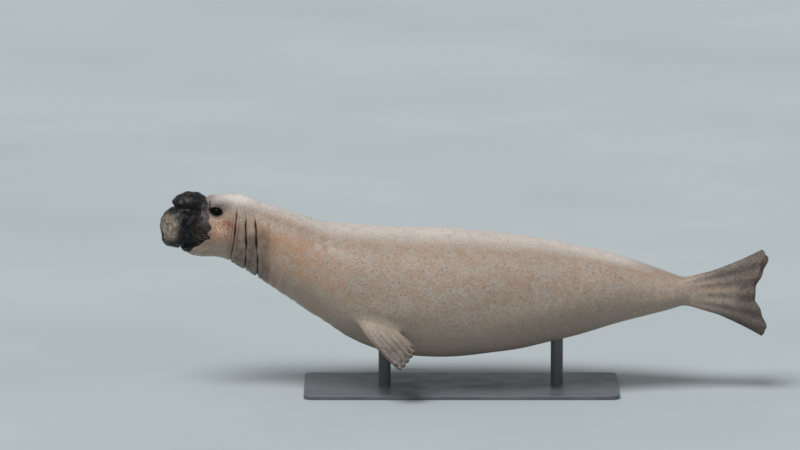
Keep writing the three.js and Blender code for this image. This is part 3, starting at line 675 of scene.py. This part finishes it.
def marksOf(points):
    # How strongly each marking of the coat shows at a point, from 0 to 1.
    x, y, z = points.T
    side = np.abs(y)

    def away(name):
        # Squared distance from the patch's middle, in its half sizes.
        ax, az, sx, sz, _ = patches[name]
        return ((x - ax) / sx) ** 2 + ((z - az) / sz) ** 2

    bell = lambda name: np.exp(-(away(name) ** patches[name][4]))
    alongLine = lambda path, half, begin=0: lineDepth((path, 1, half, begin), x, y, z)
    waver = 12 * np.sin(z / 31 + 1.1) + 9 * np.sin(z / 13 + x / 40) + 6 * np.sin(side / 17)
    edgeX = np.interp(z, *zip(*coatLines["muzzleEdge"]))
    dark = 1 - ramp(x + waver * (1 - ramp(z, 200, 300)), edgeX - 24, edgeX + 22)
    ragged = 0.16 * np.sin(z / 19 + x / 31) + 0.12 * np.sin(side / 23 + z / 47)
    patch = np.exp(-0.9 * (away("patch") + ragged) ** patches["patch"][4]) * (1 - ramp(z, 205, 240))
    patch = patch * (0.35 + 0.65 * ramp(side, 14, 84))
    # Painted shade along the trunk's crease, the pad's edge and the mouth, with a dark blotch on the trunk.
    creaseShadeAndBlotch = np.maximum.reduce([
        alongLine(faceLines["crease"][0], 30), alongLine(faceLines["padEdge"][0], 26),
        0.8 * alongLine(faceLines["mouth"][0], 26), 0.85 * bell("blotch")])
    level = (z - middleAt(x)) / np.maximum((backAt(x) - bellyAt(x)) / 2, 20)
    # Painted sheen: the top of the back is painted paler, as light off the wet hair.
    top = ramp(level - np.interp(x, [400, 900], [0.74, 0.80]), 0, 0.3)
    brow, rim = bell("brow") * (1 - dark), alongLine(faceLines["tear"][0], 8, 60)
    for s in (-1, 1):
        a, b, c, edge = eyePlace(points, s)
        near = (np.hypot(a, b) < eye["rimReach"]) * (c > -eye["behind"])
        rim = np.maximum(rim, (1 - ramp(edge, *eye["rim"])) * near)
        # The ring round the eye is painted shade in the sunken lids, while the brow patch itself is grey
        # skin.
        brow = np.maximum(brow, 0.75 * (1 - ramp(edge, *eye["socket"])) * near)
    fullShadeDepth = coatLines["fullShadeDepth"]
    # Painted shade: the folds, the lines pressed into the face and the nostrils are darkened according to
    # their depth.
    crease = foldDepth(x, y, z) / fullShadeDepth["fold"]
    for name, line in faceLines.items():
        shown = lineDepth(line, x, y, z) / fullShadeDepth.get(name, fullShadeDepth["line"])
        crease = crease + shown * (x < head["endsBy"])
    (nx, ny, nz), (_, sy, sz) = nostril["at"], nostril["size"]
    crease = crease + 1.3 * np.exp(-(((side - ny) / sy) ** 2 + ((z - nz) / sz) ** 2)) * (x < nx + 70)
    limb = ramp(fleshDistance(x, y, z), 8, 190)
    return {
        "dark": dark, "ash": bell("ash"), "creaseShadeAndBlotch": creaseShadeAndBlotch * (1 - 0.8 * patch), "patch": patch, "brow": brow,
        # Beside the cheek's own colour comes a painted highlight: a bright pale spot of wet sheen on the
        # cheek.
        "cheek": bell("cheek") * (1 - dark), "paintedCheekHighlight": bell("paintedCheekHighlight") * (1 - dark), "blush": bell("blush"),
        "weal": sum(alongLine(path, 3) for path in weals) * (y < 0),
        "pad": bell("pad") * ramp(side, 30, 80), "top": top * band(x, *coatLines["top"]),
        "under": ramp(-level, -0.1, 0.6) * ramp(x, *coatLines["under"]),
        "warm": band(x, *coatLines["warm"]) * (1 - ramp(level, 0.45, 0.8)),
        # Painted shade low on the neck, between the folds and down towards the water.
        "paintedNeckShade": band(x, *coatLines["paintedNeckShade"]) * (1 - ramp(z, 20, 170)),
        "rim": rim, "crease": np.clip(crease, 0, 1), "limb": limb, "web": betweenDigits(x, y, z) * limb,
    }


def addMarks(mesh, points):
    # The straight place and the markings are kept as attributes, so the coat's pattern follows it.
    lay = mesh.attributes.new("lay", "FLOAT_VECTOR", "POINT")
    lay.data.foreach_set("vector", (points / 1000).astype(np.float32).ravel())
    for name, values in marksOf(points).items():
        addMark(mesh, name, values)


say("skin grid")
straight, ringCount, columnCount = skinGrid()
straight = openLids(easeCrease(straight, ringCount, columnCount))
skin = newMesh("skin", straight / 1000, closedFaces(ringCount, columnCount),
               closedUvs(ringCount, columnCount, (0.0, 0.0, 1.0, 0.8)))
say("flippers")
limbs = []
for number, (name, shape, pointAt, side) in enumerate((
    ("foreLeft", foreFlipper, forePoint, -1), ("foreRight", foreFlipper, forePoint, 1),
    ("hindLeft", hindFlipper, hindPoint, -1), ("hindRight", hindFlipper, hindPoint, 1),
)):
    # In the unwrap each flipper has a quarter of the width, above the body.
    place = (number * 0.25 + 0.006, 0.82, number * 0.25 + 0.244, 0.985)
    limbs.append(flipperMesh(name, shape, pointAt, side, place))
straight, fresh = joinToSkin(skin, limbs)
say(f"joined: {len(straight)} points, {int(fresh.sum())} on the seams")
straight = easeSeam(skin.data, straight, fresh)
skin.data.name = "skin"
addMarks(skin.data, straight)
setPoints(skin.data, straightToPose(straight))
skin.data.polygons.foreach_set("use_smooth", np.ones(len(skin.data.polygons), bool))
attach(skin, "root")
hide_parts("proboscis", "head", "lower_jaw", "neck", "chest", "belly", "hips", "tail",
            "fore_flipper_left", "fore_flipper_right", "hind_flipper_left", "hind_flipper_right")

# Eyes: a ball with the clear front standing out a little.
eyeball = {
    "rows": 40, "columns": 56, "bulge": 2.2, "bulgeAngle": 0.62,
    "iris": "#140d0b", "pupil": "#030303", "white": "#171110", "roughness": 0.09, "ior": 1.34,
}


def eyePiece(name, side):
    # A sphere whose radius grows by a bell shape round its outward axis.
    out, up, along = eyeAxes(side)
    rows, columns = eyeball["rows"], eyeball["columns"]
    t = np.linspace(0, np.pi, rows + 2)[:, None]
    a = np.linspace(0, 2 * np.pi, columns, endpoint=False)[None, :]
    radius = eye["radius"] + eyeball["bulge"] * np.exp(-((t / eyeball["bulgeAngle"]) ** 4))
    c, flat = radius * np.cos(t) + 0 * a, radius * np.sin(t)
    p = c[..., None] * out + (flat * np.cos(a))[..., None] * along + (flat * np.sin(a))[..., None] * up
    p = p + eyeMiddle(side)
    points = np.concatenate([p[0, :1], p[1:-1].reshape(-1, 3), p[-1, :1]])
    gaze = (points - eyeMiddle(side)) @ out / (eye["radius"] + eyeball["bulge"])
    piece = markedPiece(name, points, closedFaces(rows, columns), "gaze", gaze)
    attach(piece, "root")
    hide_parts("eye_left" if side < 0 else "eye_right")
    return piece


eyes = [eyePiece("eyeballLeft", -1), eyePiece("eyeballRight", 1)]
say("eyes")

claw = {
    "length": 50, "half": 7, "flatness": 0.8, "neck": 0.55, "back": 0.9, "bend": 9, "blunt": 0.985,
    "rows": 12, "columns": 14, "dark": "#1f1a17", "light": "#3c322b", "worn": "#8a7a68", "grain": 260.0,
}


def clawPiece(name, side, digit, node):
    # A round section that narrows along the digit and curls down to a blunt tip.
    back, digit = np.array(claw["back"]), np.array(digit)
    base, out = forePoint(side, back, digit)
    ahead = forePoint(side, np.array(1.0), digit)[0] - base
    ahead /= np.linalg.norm(ahead)
    across = np.cross(out, ahead)
    lift = float(flipperHalf(foreFlipper, back, digit))
    t = np.linspace(0, claw["blunt"], claw["rows"])[:, None]
    a = np.linspace(0, 2 * np.pi, claw["columns"], endpoint=False)[None, :]
    half = claw["half"] * np.sqrt(1 - t**2.2) * (claw["neck"] + (1 - claw["neck"]) * ramp(t, -0.2, 0.25))
    p = (t * claw["length"] + 0 * a)[..., None] * ahead
    p = p + (lift - claw["bend"] * t * t + half * claw["flatness"] * np.sin(a))[..., None] * out
    p = p + (half * np.cos(a))[..., None] * across + base
    ends = [base + lift * out, base + claw["length"] * ahead + (lift - claw["bend"]) * out]
    points = np.concatenate([ends[:1], p.reshape(-1, 3), ends[1:]])
    grown = (points - base) @ ahead / claw["length"]
    piece = markedPiece(name, points, closedFaces(claw["rows"], claw["columns"]), "grown", grown)
    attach(piece, "root")
    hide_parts(node)
    return piece


claws = [
    clawPiece(f"claw{hand.title()}{i + 1}", side, digit, f"claw_{hand}_{i + 1}")
    for side, hand in ((-1, "left"), (1, "right"))
    for i, digit in enumerate(foreFlipper["digits"])
]
say("claws")

# Whiskers: rows on each pad, and a few over each eye.
whisker = {
    "rows": 6, "columns": 6, "thick": 0.8, "taper": 0.85, "sides": 5, "steps": 10,
    "x": (222, 322), "z": (112, 10), "stagger": 8, "slope": 14, "shake": 4, "length": (30, 105),
    "browCount": 5, "browAt": (384, 266), "browLength": (45, 85), "browLean": (0.5, 0.55),
    "buried": 3, "sag": (0.25, 0, -0.42),
    "dark": "#4c4036", "pale": "#8f7c66", "grain": 40.0,
}


def whiskerRoots():
    # Side-view place and side of each hair, its length, and its lean back and up.
    roots, lengths, leans = [], [], []
    shake = lambda size: rng.uniform(-size, size)
    between = lambda ends, t: ends[0] + (ends[1] - ends[0]) * t
    for side in (-1, 1):
        for i in range(whisker["rows"]):
            for j in range(whisker["columns"]):
                t, s = i / (whisker["rows"] - 1), j / (whisker["columns"] - 1)
                x = between(whisker["x"], s) + whisker["stagger"] * (i % 2) + shake(whisker["shake"])
                z = between(whisker["z"], t) - whisker["slope"] * s + shake(whisker["shake"])
                roots.append((x, side, z))
                lengths.append(between(whisker["length"], s) * rng.uniform(0.5, 1.1))
                leans.append((0.7 + 0.5 * s + shake(0.25), 0.05 - 0.5 * t + shake(0.2)))
        x, z = whisker["browAt"]
        for k in range(whisker["browCount"]):
            roots.append((x + 9 * k + shake(2), side, z + 4 * math.sin(k)))
            lengths.append(rng.uniform(*whisker["browLength"]))
            leans.append(whisker["browLean"])
    return np.array(roots, float), np.array(lengths), np.array(leans)


def whiskerPiece():
    # Each hair is a thin tapering tube that leaves the skin sideways, leans back and sags.
    roots, lengths, leans = whiskerRoots()
    side = roots[:, 1]
    origins = np.stack([roots[:, 0], 0 * side, roots[:, 2]], 1)
    outwards = np.stack([0 * side, side, 0 * side], 1)
    base = origins + (surfaceAlong(origins, outwards) - whisker["buried"])[:, None] * outwards
    aim = outwards + leans[:, :1] * [1, 0, 0] + leans[:, 1:] * [0, 0, 1]
    aim /= np.linalg.norm(aim, axis=1, keepdims=True)
    steps, sides, hairs = whisker["steps"], whisker["sides"], len(roots)
    t = np.linspace(0, 1, steps)[None, :, None]
    path = base[:, None] + aim[:, None] * (t * lengths[:, None, None])
    path = path + np.array(whisker["sag"]) * (t**2 * lengths[:, None, None])
    across = np.cross(aim, [0, 0, 1.0])
    across /= np.linalg.norm(across, axis=1, keepdims=True)
    lift = np.cross(across, aim)
    a = (np.arange(sides) / sides * 2 * np.pi)[None, None, :, None]
    radius = (whisker["thick"] * (1 - whisker["taper"] * t))[..., None]
    ring = np.cos(a) * across[:, None, None] + np.sin(a) * lift[:, None, None]
    points = (path[:, :, None] + radius * ring).reshape(-1, 3)
    h, i, j = np.meshgrid(np.arange(hairs), np.arange(steps - 1), np.arange(sides), indexing="ij")
    at = lambda r, c: (h * steps + r) * sides + c % sides
    tubes = np.stack([at(i, j), at(i, j + 1), at(i + 1, j + 1), at(i + 1, j)], -1).reshape(-1, 4)
    first, around = (np.arange(hairs) * steps * sides)[:, None], np.arange(sides)
    last = first + (steps - 1) * sides
    caps = np.stack([first + around[::-1], last + around], 1).reshape(-1, sides)
    piece = faceOutwards(newMesh("whiskers", straightToPose(points), tubes.tolist() + caps.tolist()))
    # In the unwrap the hairs lie in 16 narrow columns along the top edge.
    layer = piece.data.uv_layers.new(name="OFBake")
    corner = readAll(piece.data.loops, "vertex_index")
    n, rest = corner // (steps * sides), corner % (steps * sides)
    u = 0.02 + 0.96 * (n % 16) / 16 + 0.003 * (rest % sides) / sides
    v = 0.99 + 0.0008 * (n // 16) + 0.0006 * (rest // sides) / steps
    layer.data.foreach_set("uv", np.stack([u, v], 1).astype(np.float32).ravel())
    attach(piece, "root")
    return piece


whiskers = whiskerPiece()
say("whiskers")


# Materials.
def toLinear(code):
    values = [int(code[i:i + 2], 16) / 255 for i in (1, 3, 5)]
    return [v / 12.92 if v <= 0.04045 else ((v + 0.055) / 1.055) ** 2.4 for v in values] + [1.0]


def add(tree, kind, inputs=None, **settings):
    # Adds a node, sets its settings, and fills its inputs with values or links.
    made = tree.nodes.new("ShaderNode" + kind)
    for key, value in settings.items():
        setattr(made, key, value)
    for key, value in (inputs or {}).items():
        socket = made.inputs[key]
        if isinstance(value, bpy.types.NodeSocket):
            tree.links.new(value, socket)
        else:
            socket.default_value = toLinear(value) if isinstance(value, str) else value
    return made


def startMaterial(name):
    material = bpy.data.materials.new(name)
    material.use_nodes = True
    material.node_tree.nodes.clear()
    return material, material.node_tree


def finishMaterial(material, inputs):
    # One Principled shader with these values and links gives the surface.
    shader = add(material.node_tree, "BsdfPrincipled", inputs)
    add(material.node_tree, "OutputMaterial", {"Surface": shader.outputs["BSDF"]})
    return material


def blendColours(tree, amount, first, second, how="MIX"):
    return add(tree, "Mix", {0: amount, 6: first, 7: second}, data_type="RGBA", blend_type=how).outputs[2]


def calculate(tree, how, *values):
    return add(tree, "Math", dict(enumerate(values)), operation=how).outputs[0]


def span(tree, value, low, high, outLow=0.0, outHigh=1.0):
    return add(tree, "MapRange", {0: value, 1: low, 2: high, 3: outLow, 4: outHigh},
               interpolation_type="SMOOTHSTEP").outputs[0]


def attribute(tree, name, output="Fac"):
    return add(tree, "Attribute", attribute_name=name).outputs[output]


def grainOf(tree, scale, detail):
    # A noise that lies still in the object's own place.
    place = add(tree, "TexCoord").outputs["Object"]
    return add(tree, "TexNoise", {"Vector": place, "Scale": scale, "Detail": detail}).outputs[0]


def bumpOf(tree, strength, distance, height, normal=None):
    bump = add(tree, "Bump", {"Strength": strength, "Distance": distance, "Height": height})
    if normal:
        tree.links.new(normal, bump.inputs["Normal"])
    return bump.outputs[0]


coat = {
    "noises": {  # size in millimetres, detail, roughness, stretch, twist
        "blotch": (70, 4), "mottle": (16, 4, 0.65), "hair": (2.9, 2, 0.6, (0.24, 1, 1), 0.4),
        "fleck": (8, 3, 0.7), "scar": (90, 2, 0.4, (1.6, 1.6, 0.5), 0.6), "scarred": (55, 2),
        "torn": (12, 3), "ragged": (9, 2), "spotted": (150, 1), "brown": (38, 3),
        "speckle": (7, 3, 0.75), "cloud": (30, 3), "streak": (9, 2, 0.6, (0.5, 1, 1.8)),
        "tuft": (19, 3, 0.7),
    },
    "tones": {  # two colours, and the noise and range that lead from one to the other
        "ground": ("#a6988c", "#a48e7d", "blotch", 0.38, 0.62),
        "cheek": ("#84583e", "#c4987c", "fleck", 0.36, 0.64),
        "trunk": ("#0d0c0e", "#2e2d30", "mottle", 0.42, 0.68),
        "ash": ("#3a3635", "#6d6661", "mottle", 0.36, 0.62),
        "patch": ("#534d47", "#c0b09d", "speckle", 0.4, 0.63),
        "pad": ("#080606", "#4a3324", "streak", 0.5, 0.62),
        "limb": ("#71665f", "#4d4542", "mottle", 0.4, 0.65),
    },
    # Washes, in order: the mark that they follow, a colour or tone, and the share of it, which is
    # a number, or a noise, its range, and the shares at its two ends.
    "bodyWashes": [
        ("warm", "#ad8468", "blotch", 0.3, 0.6, 0.15, 0.65), ("under", "#9d9082", 0.6),
        # Painted sheen: a pale wash on the top of the back stands for light off the wet hair.
        ("top", "#e0d8d0", "blotch", 0.25, 0.6, 0.5, 0.95),
        # Painted shade: a darker grey-brown low on the neck.
        ("paintedNeckShade", "#64584f", "blotch", 0.3, 0.65, 0.45, 0.9),
        # The brow wash is grey skin over the eye, with painted shade in the socket round it.
        ("brow", "#605a57", "mottle", 0.3, 0.6, 0.7, 1.0), ("cheek", "cheek", "blotch", 0.3, 0.5, 0.8, 1.0),
        ("blush", "#7a4434", "mottle", 0.38, 0.6, 0.85, 0.35),
    ],
    # Painted highlight: a bright pale spot of wet sheen on the cheek.
    "paintedCheekHighlight": ("paintedCheekHighlight", "#e8cab3", "fleck", 0.4, 0.58, 0.2, 0.9),
    "weal": ("weal", "#c9b3a6", "torn", 0.4, 0.6, 0.1, 0.55),
    "trunkWashes": [
        # The third wash is painted shade along the trunk's crease, the pad's edge and the mouth, with a dark
        # blotch on the trunk.
        ("ash", "ash", 0.8), ("patch", "patch", 1.0), ("creaseShadeAndBlotch", "#020203", "mottle", 0.3, 0.62, 0.95, 0.6),
        ("pad", "pad", 0.85),
    ],
    "limbWashes": [("limb", "limb", 0.8), ("web", "#2f2a29", 0.6)],
    "tanGrey": "#7d7067", "scar": "#c9b3a6", "spot": "#4a3c35", "trunkBrown": "#3c3028",
    # The first colour on the next line is the painted shade in folds, pressed lines and nostrils.
    "crease": "#15100e", "rim": "#0c0a0b",
    "spotGap": 62, "cell": 9, "hairBump": 0.0014, "mottleBump": 0.005,
    "surface": {"IOR": 1.4, "Specular IOR Level": 0.24, "Coat Weight": 0.05, "Coat Roughness": 0.14},
}


def wetHide():
    # Short stiff hair lying wet and flat on thick hide: soft mottling, fine grain, broken highlights.
    material, tree = startMaterial("wetShortHairedHide")
    lay = attribute(tree, "lay", "Vector")
    perMetre = lambda size: 1000 / size
    times = lambda value, share: calculate(tree, "MULTIPLY", value, share)
    plus = lambda value, other: calculate(tree, "ADD", value, other)

    def noise(size, detail, rough=0.55, stretch=(1, 1, 1), twist=0.0):
        place = add(tree, "Mapping", {"Vector": lay, "Scale": stretch}).outputs[0]
        return add(tree, "TexNoise", {"Vector": place, "Scale": perMetre(size), "Detail": detail,
                                      "Roughness": rough, "Distortion": twist}).outputs[0]

    noises = {name: noise(*settings) for name, settings in coat["noises"].items()}
    noises["fleck"] = plus(times(noises["mottle"], 0.35), times(noises["fleck"], 0.65))
    noises["speckle"] = plus(times(noises["speckle"], 0.7), times(noises["cloud"], 0.3))
    shown = lambda name, *ends: span(tree, noises[name], *ends)
    over = lambda colour, share, tone: blendColours(tree, share, colour, tone)
    tones = {name: over(first, shown(*how), second) for name, (first, second, *how) in coat["tones"].items()}

    def wash(colour, markName, tone, *share):
        share = shown(*share) if len(share) > 1 else share[0]
        return over(colour, times(attribute(tree, markName), share), tones.get(tone, tone))

    # A painted highlight of wet sheen is laid over the cheek's tone.
    tones["cheek"] = wash(tones["cheek"], *coat["paintedCheekHighlight"])
    colour = over(tones["ground"], shown("mottle", 0.5, 0.72), coat["tanGrey"])
    for row in coat["bodyWashes"]:
        colour = wash(colour, *row)

    # Scars: short pale lines where a stretched, twisted noise passes near its middle value.
    nearMiddle = calculate(tree, "ABSOLUTE", calculate(tree, "SUBTRACT", noises["scar"], 0.5))
    scar = times(span(tree, nearMiddle, 0.0, 0.012, 1.0, 0.0), shown("scarred", 0.56, 0.66))
    colour = over(colour, times(scar, 0.55), coat["scar"])
    colour = wash(colour, *coat["weal"])
    # Spots: small dark cells, only some of them kept.
    cells = add(tree, "TexVoronoi", {"Vector": lay, "Scale": perMetre(coat["spotGap"])})
    fromCell = plus(cells.outputs["Distance"], times(noises["ragged"], 0.24))
    spot = times(span(tree, fromCell, 0.13, 0.24, 1.0, 0.0), shown("spotted", 0.46, 0.6))
    colour = over(colour, times(spot, 0.5), coat["spot"])

    # Trunk and muzzle: bare dark skin, a paler speckled front, brown streaks between the whiskers, and
    # painted shade along its creases.
    trunk = over(tones["trunk"], shown("brown", 0.52, 0.7, 0.0, 0.55), coat["trunkBrown"])
    for row in coat["trunkWashes"]:
        trunk = wash(trunk, *row)
    dark = attribute(tree, "dark")
    darkEdge = plus(dark, times(calculate(tree, "SUBTRACT", noises["mottle"], 0.5), 0.7))
    colour = over(colour, span(tree, darkEdge, 0.32, 0.68), trunk)
    for row in coat["limbWashes"]:
        colour = wash(colour, *row)
    # Painted shade in the folds, pressed lines and nostrils.
    colour = over(colour, span(tree, attribute(tree, "crease"), 0.3, 0.85, 0.0, 0.93), coat["crease"])
    colour = over(colour, attribute(tree, "rim"), coat["rim"])
    shade = times(shown("hair", 0.3, 0.7, 0.87, 1.09), shown("tuft", 0.32, 0.68, 0.91, 1.08))
    grey = add(tree, "CombineColor", {0: shade, 1: shade, 2: shade}).outputs[0]
    colour = blendColours(tree, 1.0, colour, grey, "MULTIPLY")

    # Bump: hair grain, the cracks between cells of bare hide, and the mottling.
    hide = add(tree, "TexVoronoi", {"Vector": lay, "Scale": perMetre(coat["cell"])},
               feature="DISTANCE_TO_EDGE")
    cracks = span(tree, hide.outputs["Distance"], 0.0, 0.12)
    bump = bumpOf(tree, 0.5, coat["hairBump"], noises["hair"])
    bump = bumpOf(tree, span(tree, dark, 0.0, 1.0, 0.08, 0.3), coat["hairBump"], cracks, bump)
    bump = bumpOf(tree, 0.5, coat["mottleBump"], noises["mottle"], bump)
    rough = calculate(tree, "SUBTRACT", shown("mottle", 0.3, 0.7, 0.3, 0.5), times(dark, 0.1))
    return finishMaterial(material, coat["surface"] | {
        "Base Color": colour, "Roughness": rough, "Normal": bump})


def wetEye():
    # A moist cornea over a nearly black iris and pupil.
    material, tree = startMaterial("moistCornea")
    gaze = attribute(tree, "gaze")
    colour = blendColours(tree, span(tree, gaze, 0.8, 0.88), eyeball["iris"], eyeball["pupil"])
    colour = blendColours(tree, span(tree, gaze, 0.5, 0.62, 1.0, 0.0), colour, eyeball["white"])
    return finishMaterial(material, {
        "Base Color": colour, "Roughness": eyeball["roughness"], "IOR": eyeball["ior"],
        "Specular IOR Level": 0.2})


def clawHorn():
    # Horn: dark and layered along its length, worn paler at the tip.
    material, tree = startMaterial("clawHorn")
    grain = grainOf(tree, claw["grain"], 3.0)
    colour = blendColours(tree, span(tree, grain, 0.35, 0.65), claw["dark"], claw["light"])
    worn = span(tree, attribute(tree, "grown"), 0.55, 1.0, 0.0, 0.5)
    colour = blendColours(tree, worn, colour, claw["worn"])
    return finishMaterial(material, {"Base Color": colour, "Roughness": 0.36, "IOR": 1.54,
                                     "Normal": bumpOf(tree, 0.3, 0.0008, grain)})


def whiskerKeratin():
    # Stiff pale hair, dull yellow-brown.
    material, tree = startMaterial("whiskerKeratin")
    grain = grainOf(tree, whisker["grain"], 2.0)
    colour = blendColours(tree, span(tree, grain, 0.4, 0.6), whisker["dark"], whisker["pale"])
    return finishMaterial(material, {"Base Color": colour, "Roughness": 0.42, "IOR": 1.54})


stand = {"grey": "#565a5e", "dusty": "#62666a", "dust": 6.0, "peel": 420.0,
         "nodes": ("stand_base", "stand_rod_front", "stand_rod_rear")}


def paintedSteel():
    # Sprayed satin enamel on steel: even grey with a faint orange peel and slight dust.
    material, tree = startMaterial("satinPaintedSteel")
    dust = grainOf(tree, stand["dust"], 5.0)
    colour = blendColours(tree, span(tree, dust, 0.35, 0.7), stand["grey"], stand["dusty"])
    peel = bumpOf(tree, 0.12, 0.0006, grainOf(tree, stand["peel"], 1.0))
    return finishMaterial(material, {
        "Base Color": colour, "Roughness": span(tree, dust, 0.3, 0.7, 0.36, 0.5), "Normal": peel})


def dress(pieces, material):
    for piece in pieces:
        piece.data.materials.clear()
        piece.data.materials.append(material)


dress([skin], wetHide())
dress(eyes, wetEye())
dress(claws, clawHorn())
dress([whiskers], whiskerKeratin())
steel = paintedSteel()
for name in stand["nodes"]:
    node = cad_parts[name]
    for place in node.material_slots:
        place.material = steel
    if not node.material_slots:
        node.data.materials.append(steel)
say("materials")

# Studio: a wide pale floor, a pale dome and one broad soft light from above the camera's left.
studio = {"floorHalf": 90, "floor": "#b2babc", "floorCloud": "#acb5b8", "dome": "#e8edf0",
          "domeStrength": 0.44, "sunStrength": 2.5, "sunSoftness": 30, "sunTilt": (30, 0, -34)}


def floorMaterial():
    # Matt plaster, very slightly clouded.
    material, tree = startMaterial("mattPlasterFloor")
    cloud = grainOf(tree, 0.35, 3.0)
    colour = blendColours(tree, span(tree, cloud, 0.3, 0.7), studio["floor"], studio["floorCloud"])
    return finishMaterial(material, {"Base Color": colour, "Roughness": 0.85})


corners = studio["floorHalf"] * np.array([(-1, -1, 0), (1, -1, 0), (1, 1, 0), (-1, 1, 0)], float)
floor = newMesh("floor", corners, [[0, 1, 2, 3]])
dress([floor], floorMaterial())
world = bpy.data.worlds.new("dome")
world.use_nodes = True
sky = world.node_tree.nodes["Background"]
sky.inputs[0].default_value = toLinear(studio["dome"])
sky.inputs[1].default_value = studio["domeStrength"]
bpy.context.scene.world = world
sunData = bpy.data.lights.new("softSun", "SUN")
sunData.energy = studio["sunStrength"]
sunData.angle = math.radians(studio["sunSoftness"])
sun = bpy.data.objects.new("softSun", sunData)
sun.rotation_euler = [math.radians(v) for v in studio["sunTilt"]]
bpy.context.scene.collection.objects.link(sun)

# Camera: far off with a long lens, a little above, so that the water line falls where it did.
view = {"distance": 55.0, "elevation": 10.0, "frameWidth": 5.84, "sensor": 36, "clipEnd": 400,
        "aimX": 1752, "aimZ": 89}
cameraData = bpy.data.cameras.new("camera")
cameraData.sensor_width = view["sensor"]
cameraData.lens = view["sensor"] * view["distance"] / view["frameWidth"]
cameraData.clip_end = view["clipEnd"]
camera = bpy.data.objects.new("camera", cameraData)
target = Vector(straightToPose(np.array([[view["aimX"], 0.0, view["aimZ"]]]))[0])
rise = math.radians(view["elevation"])
away = Vector((0, -math.cos(rise), math.sin(rise)))
camera.location = target + away * view["distance"]
camera.rotation_euler = (-away).to_track_quat("-Z", "Y").to_euler()
bpy.context.scene.collection.objects.link(camera)
bpy.context.scene.camera = camera
bpy.context.scene.view_settings.view_transform = "Standard"

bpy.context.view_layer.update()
say("done")
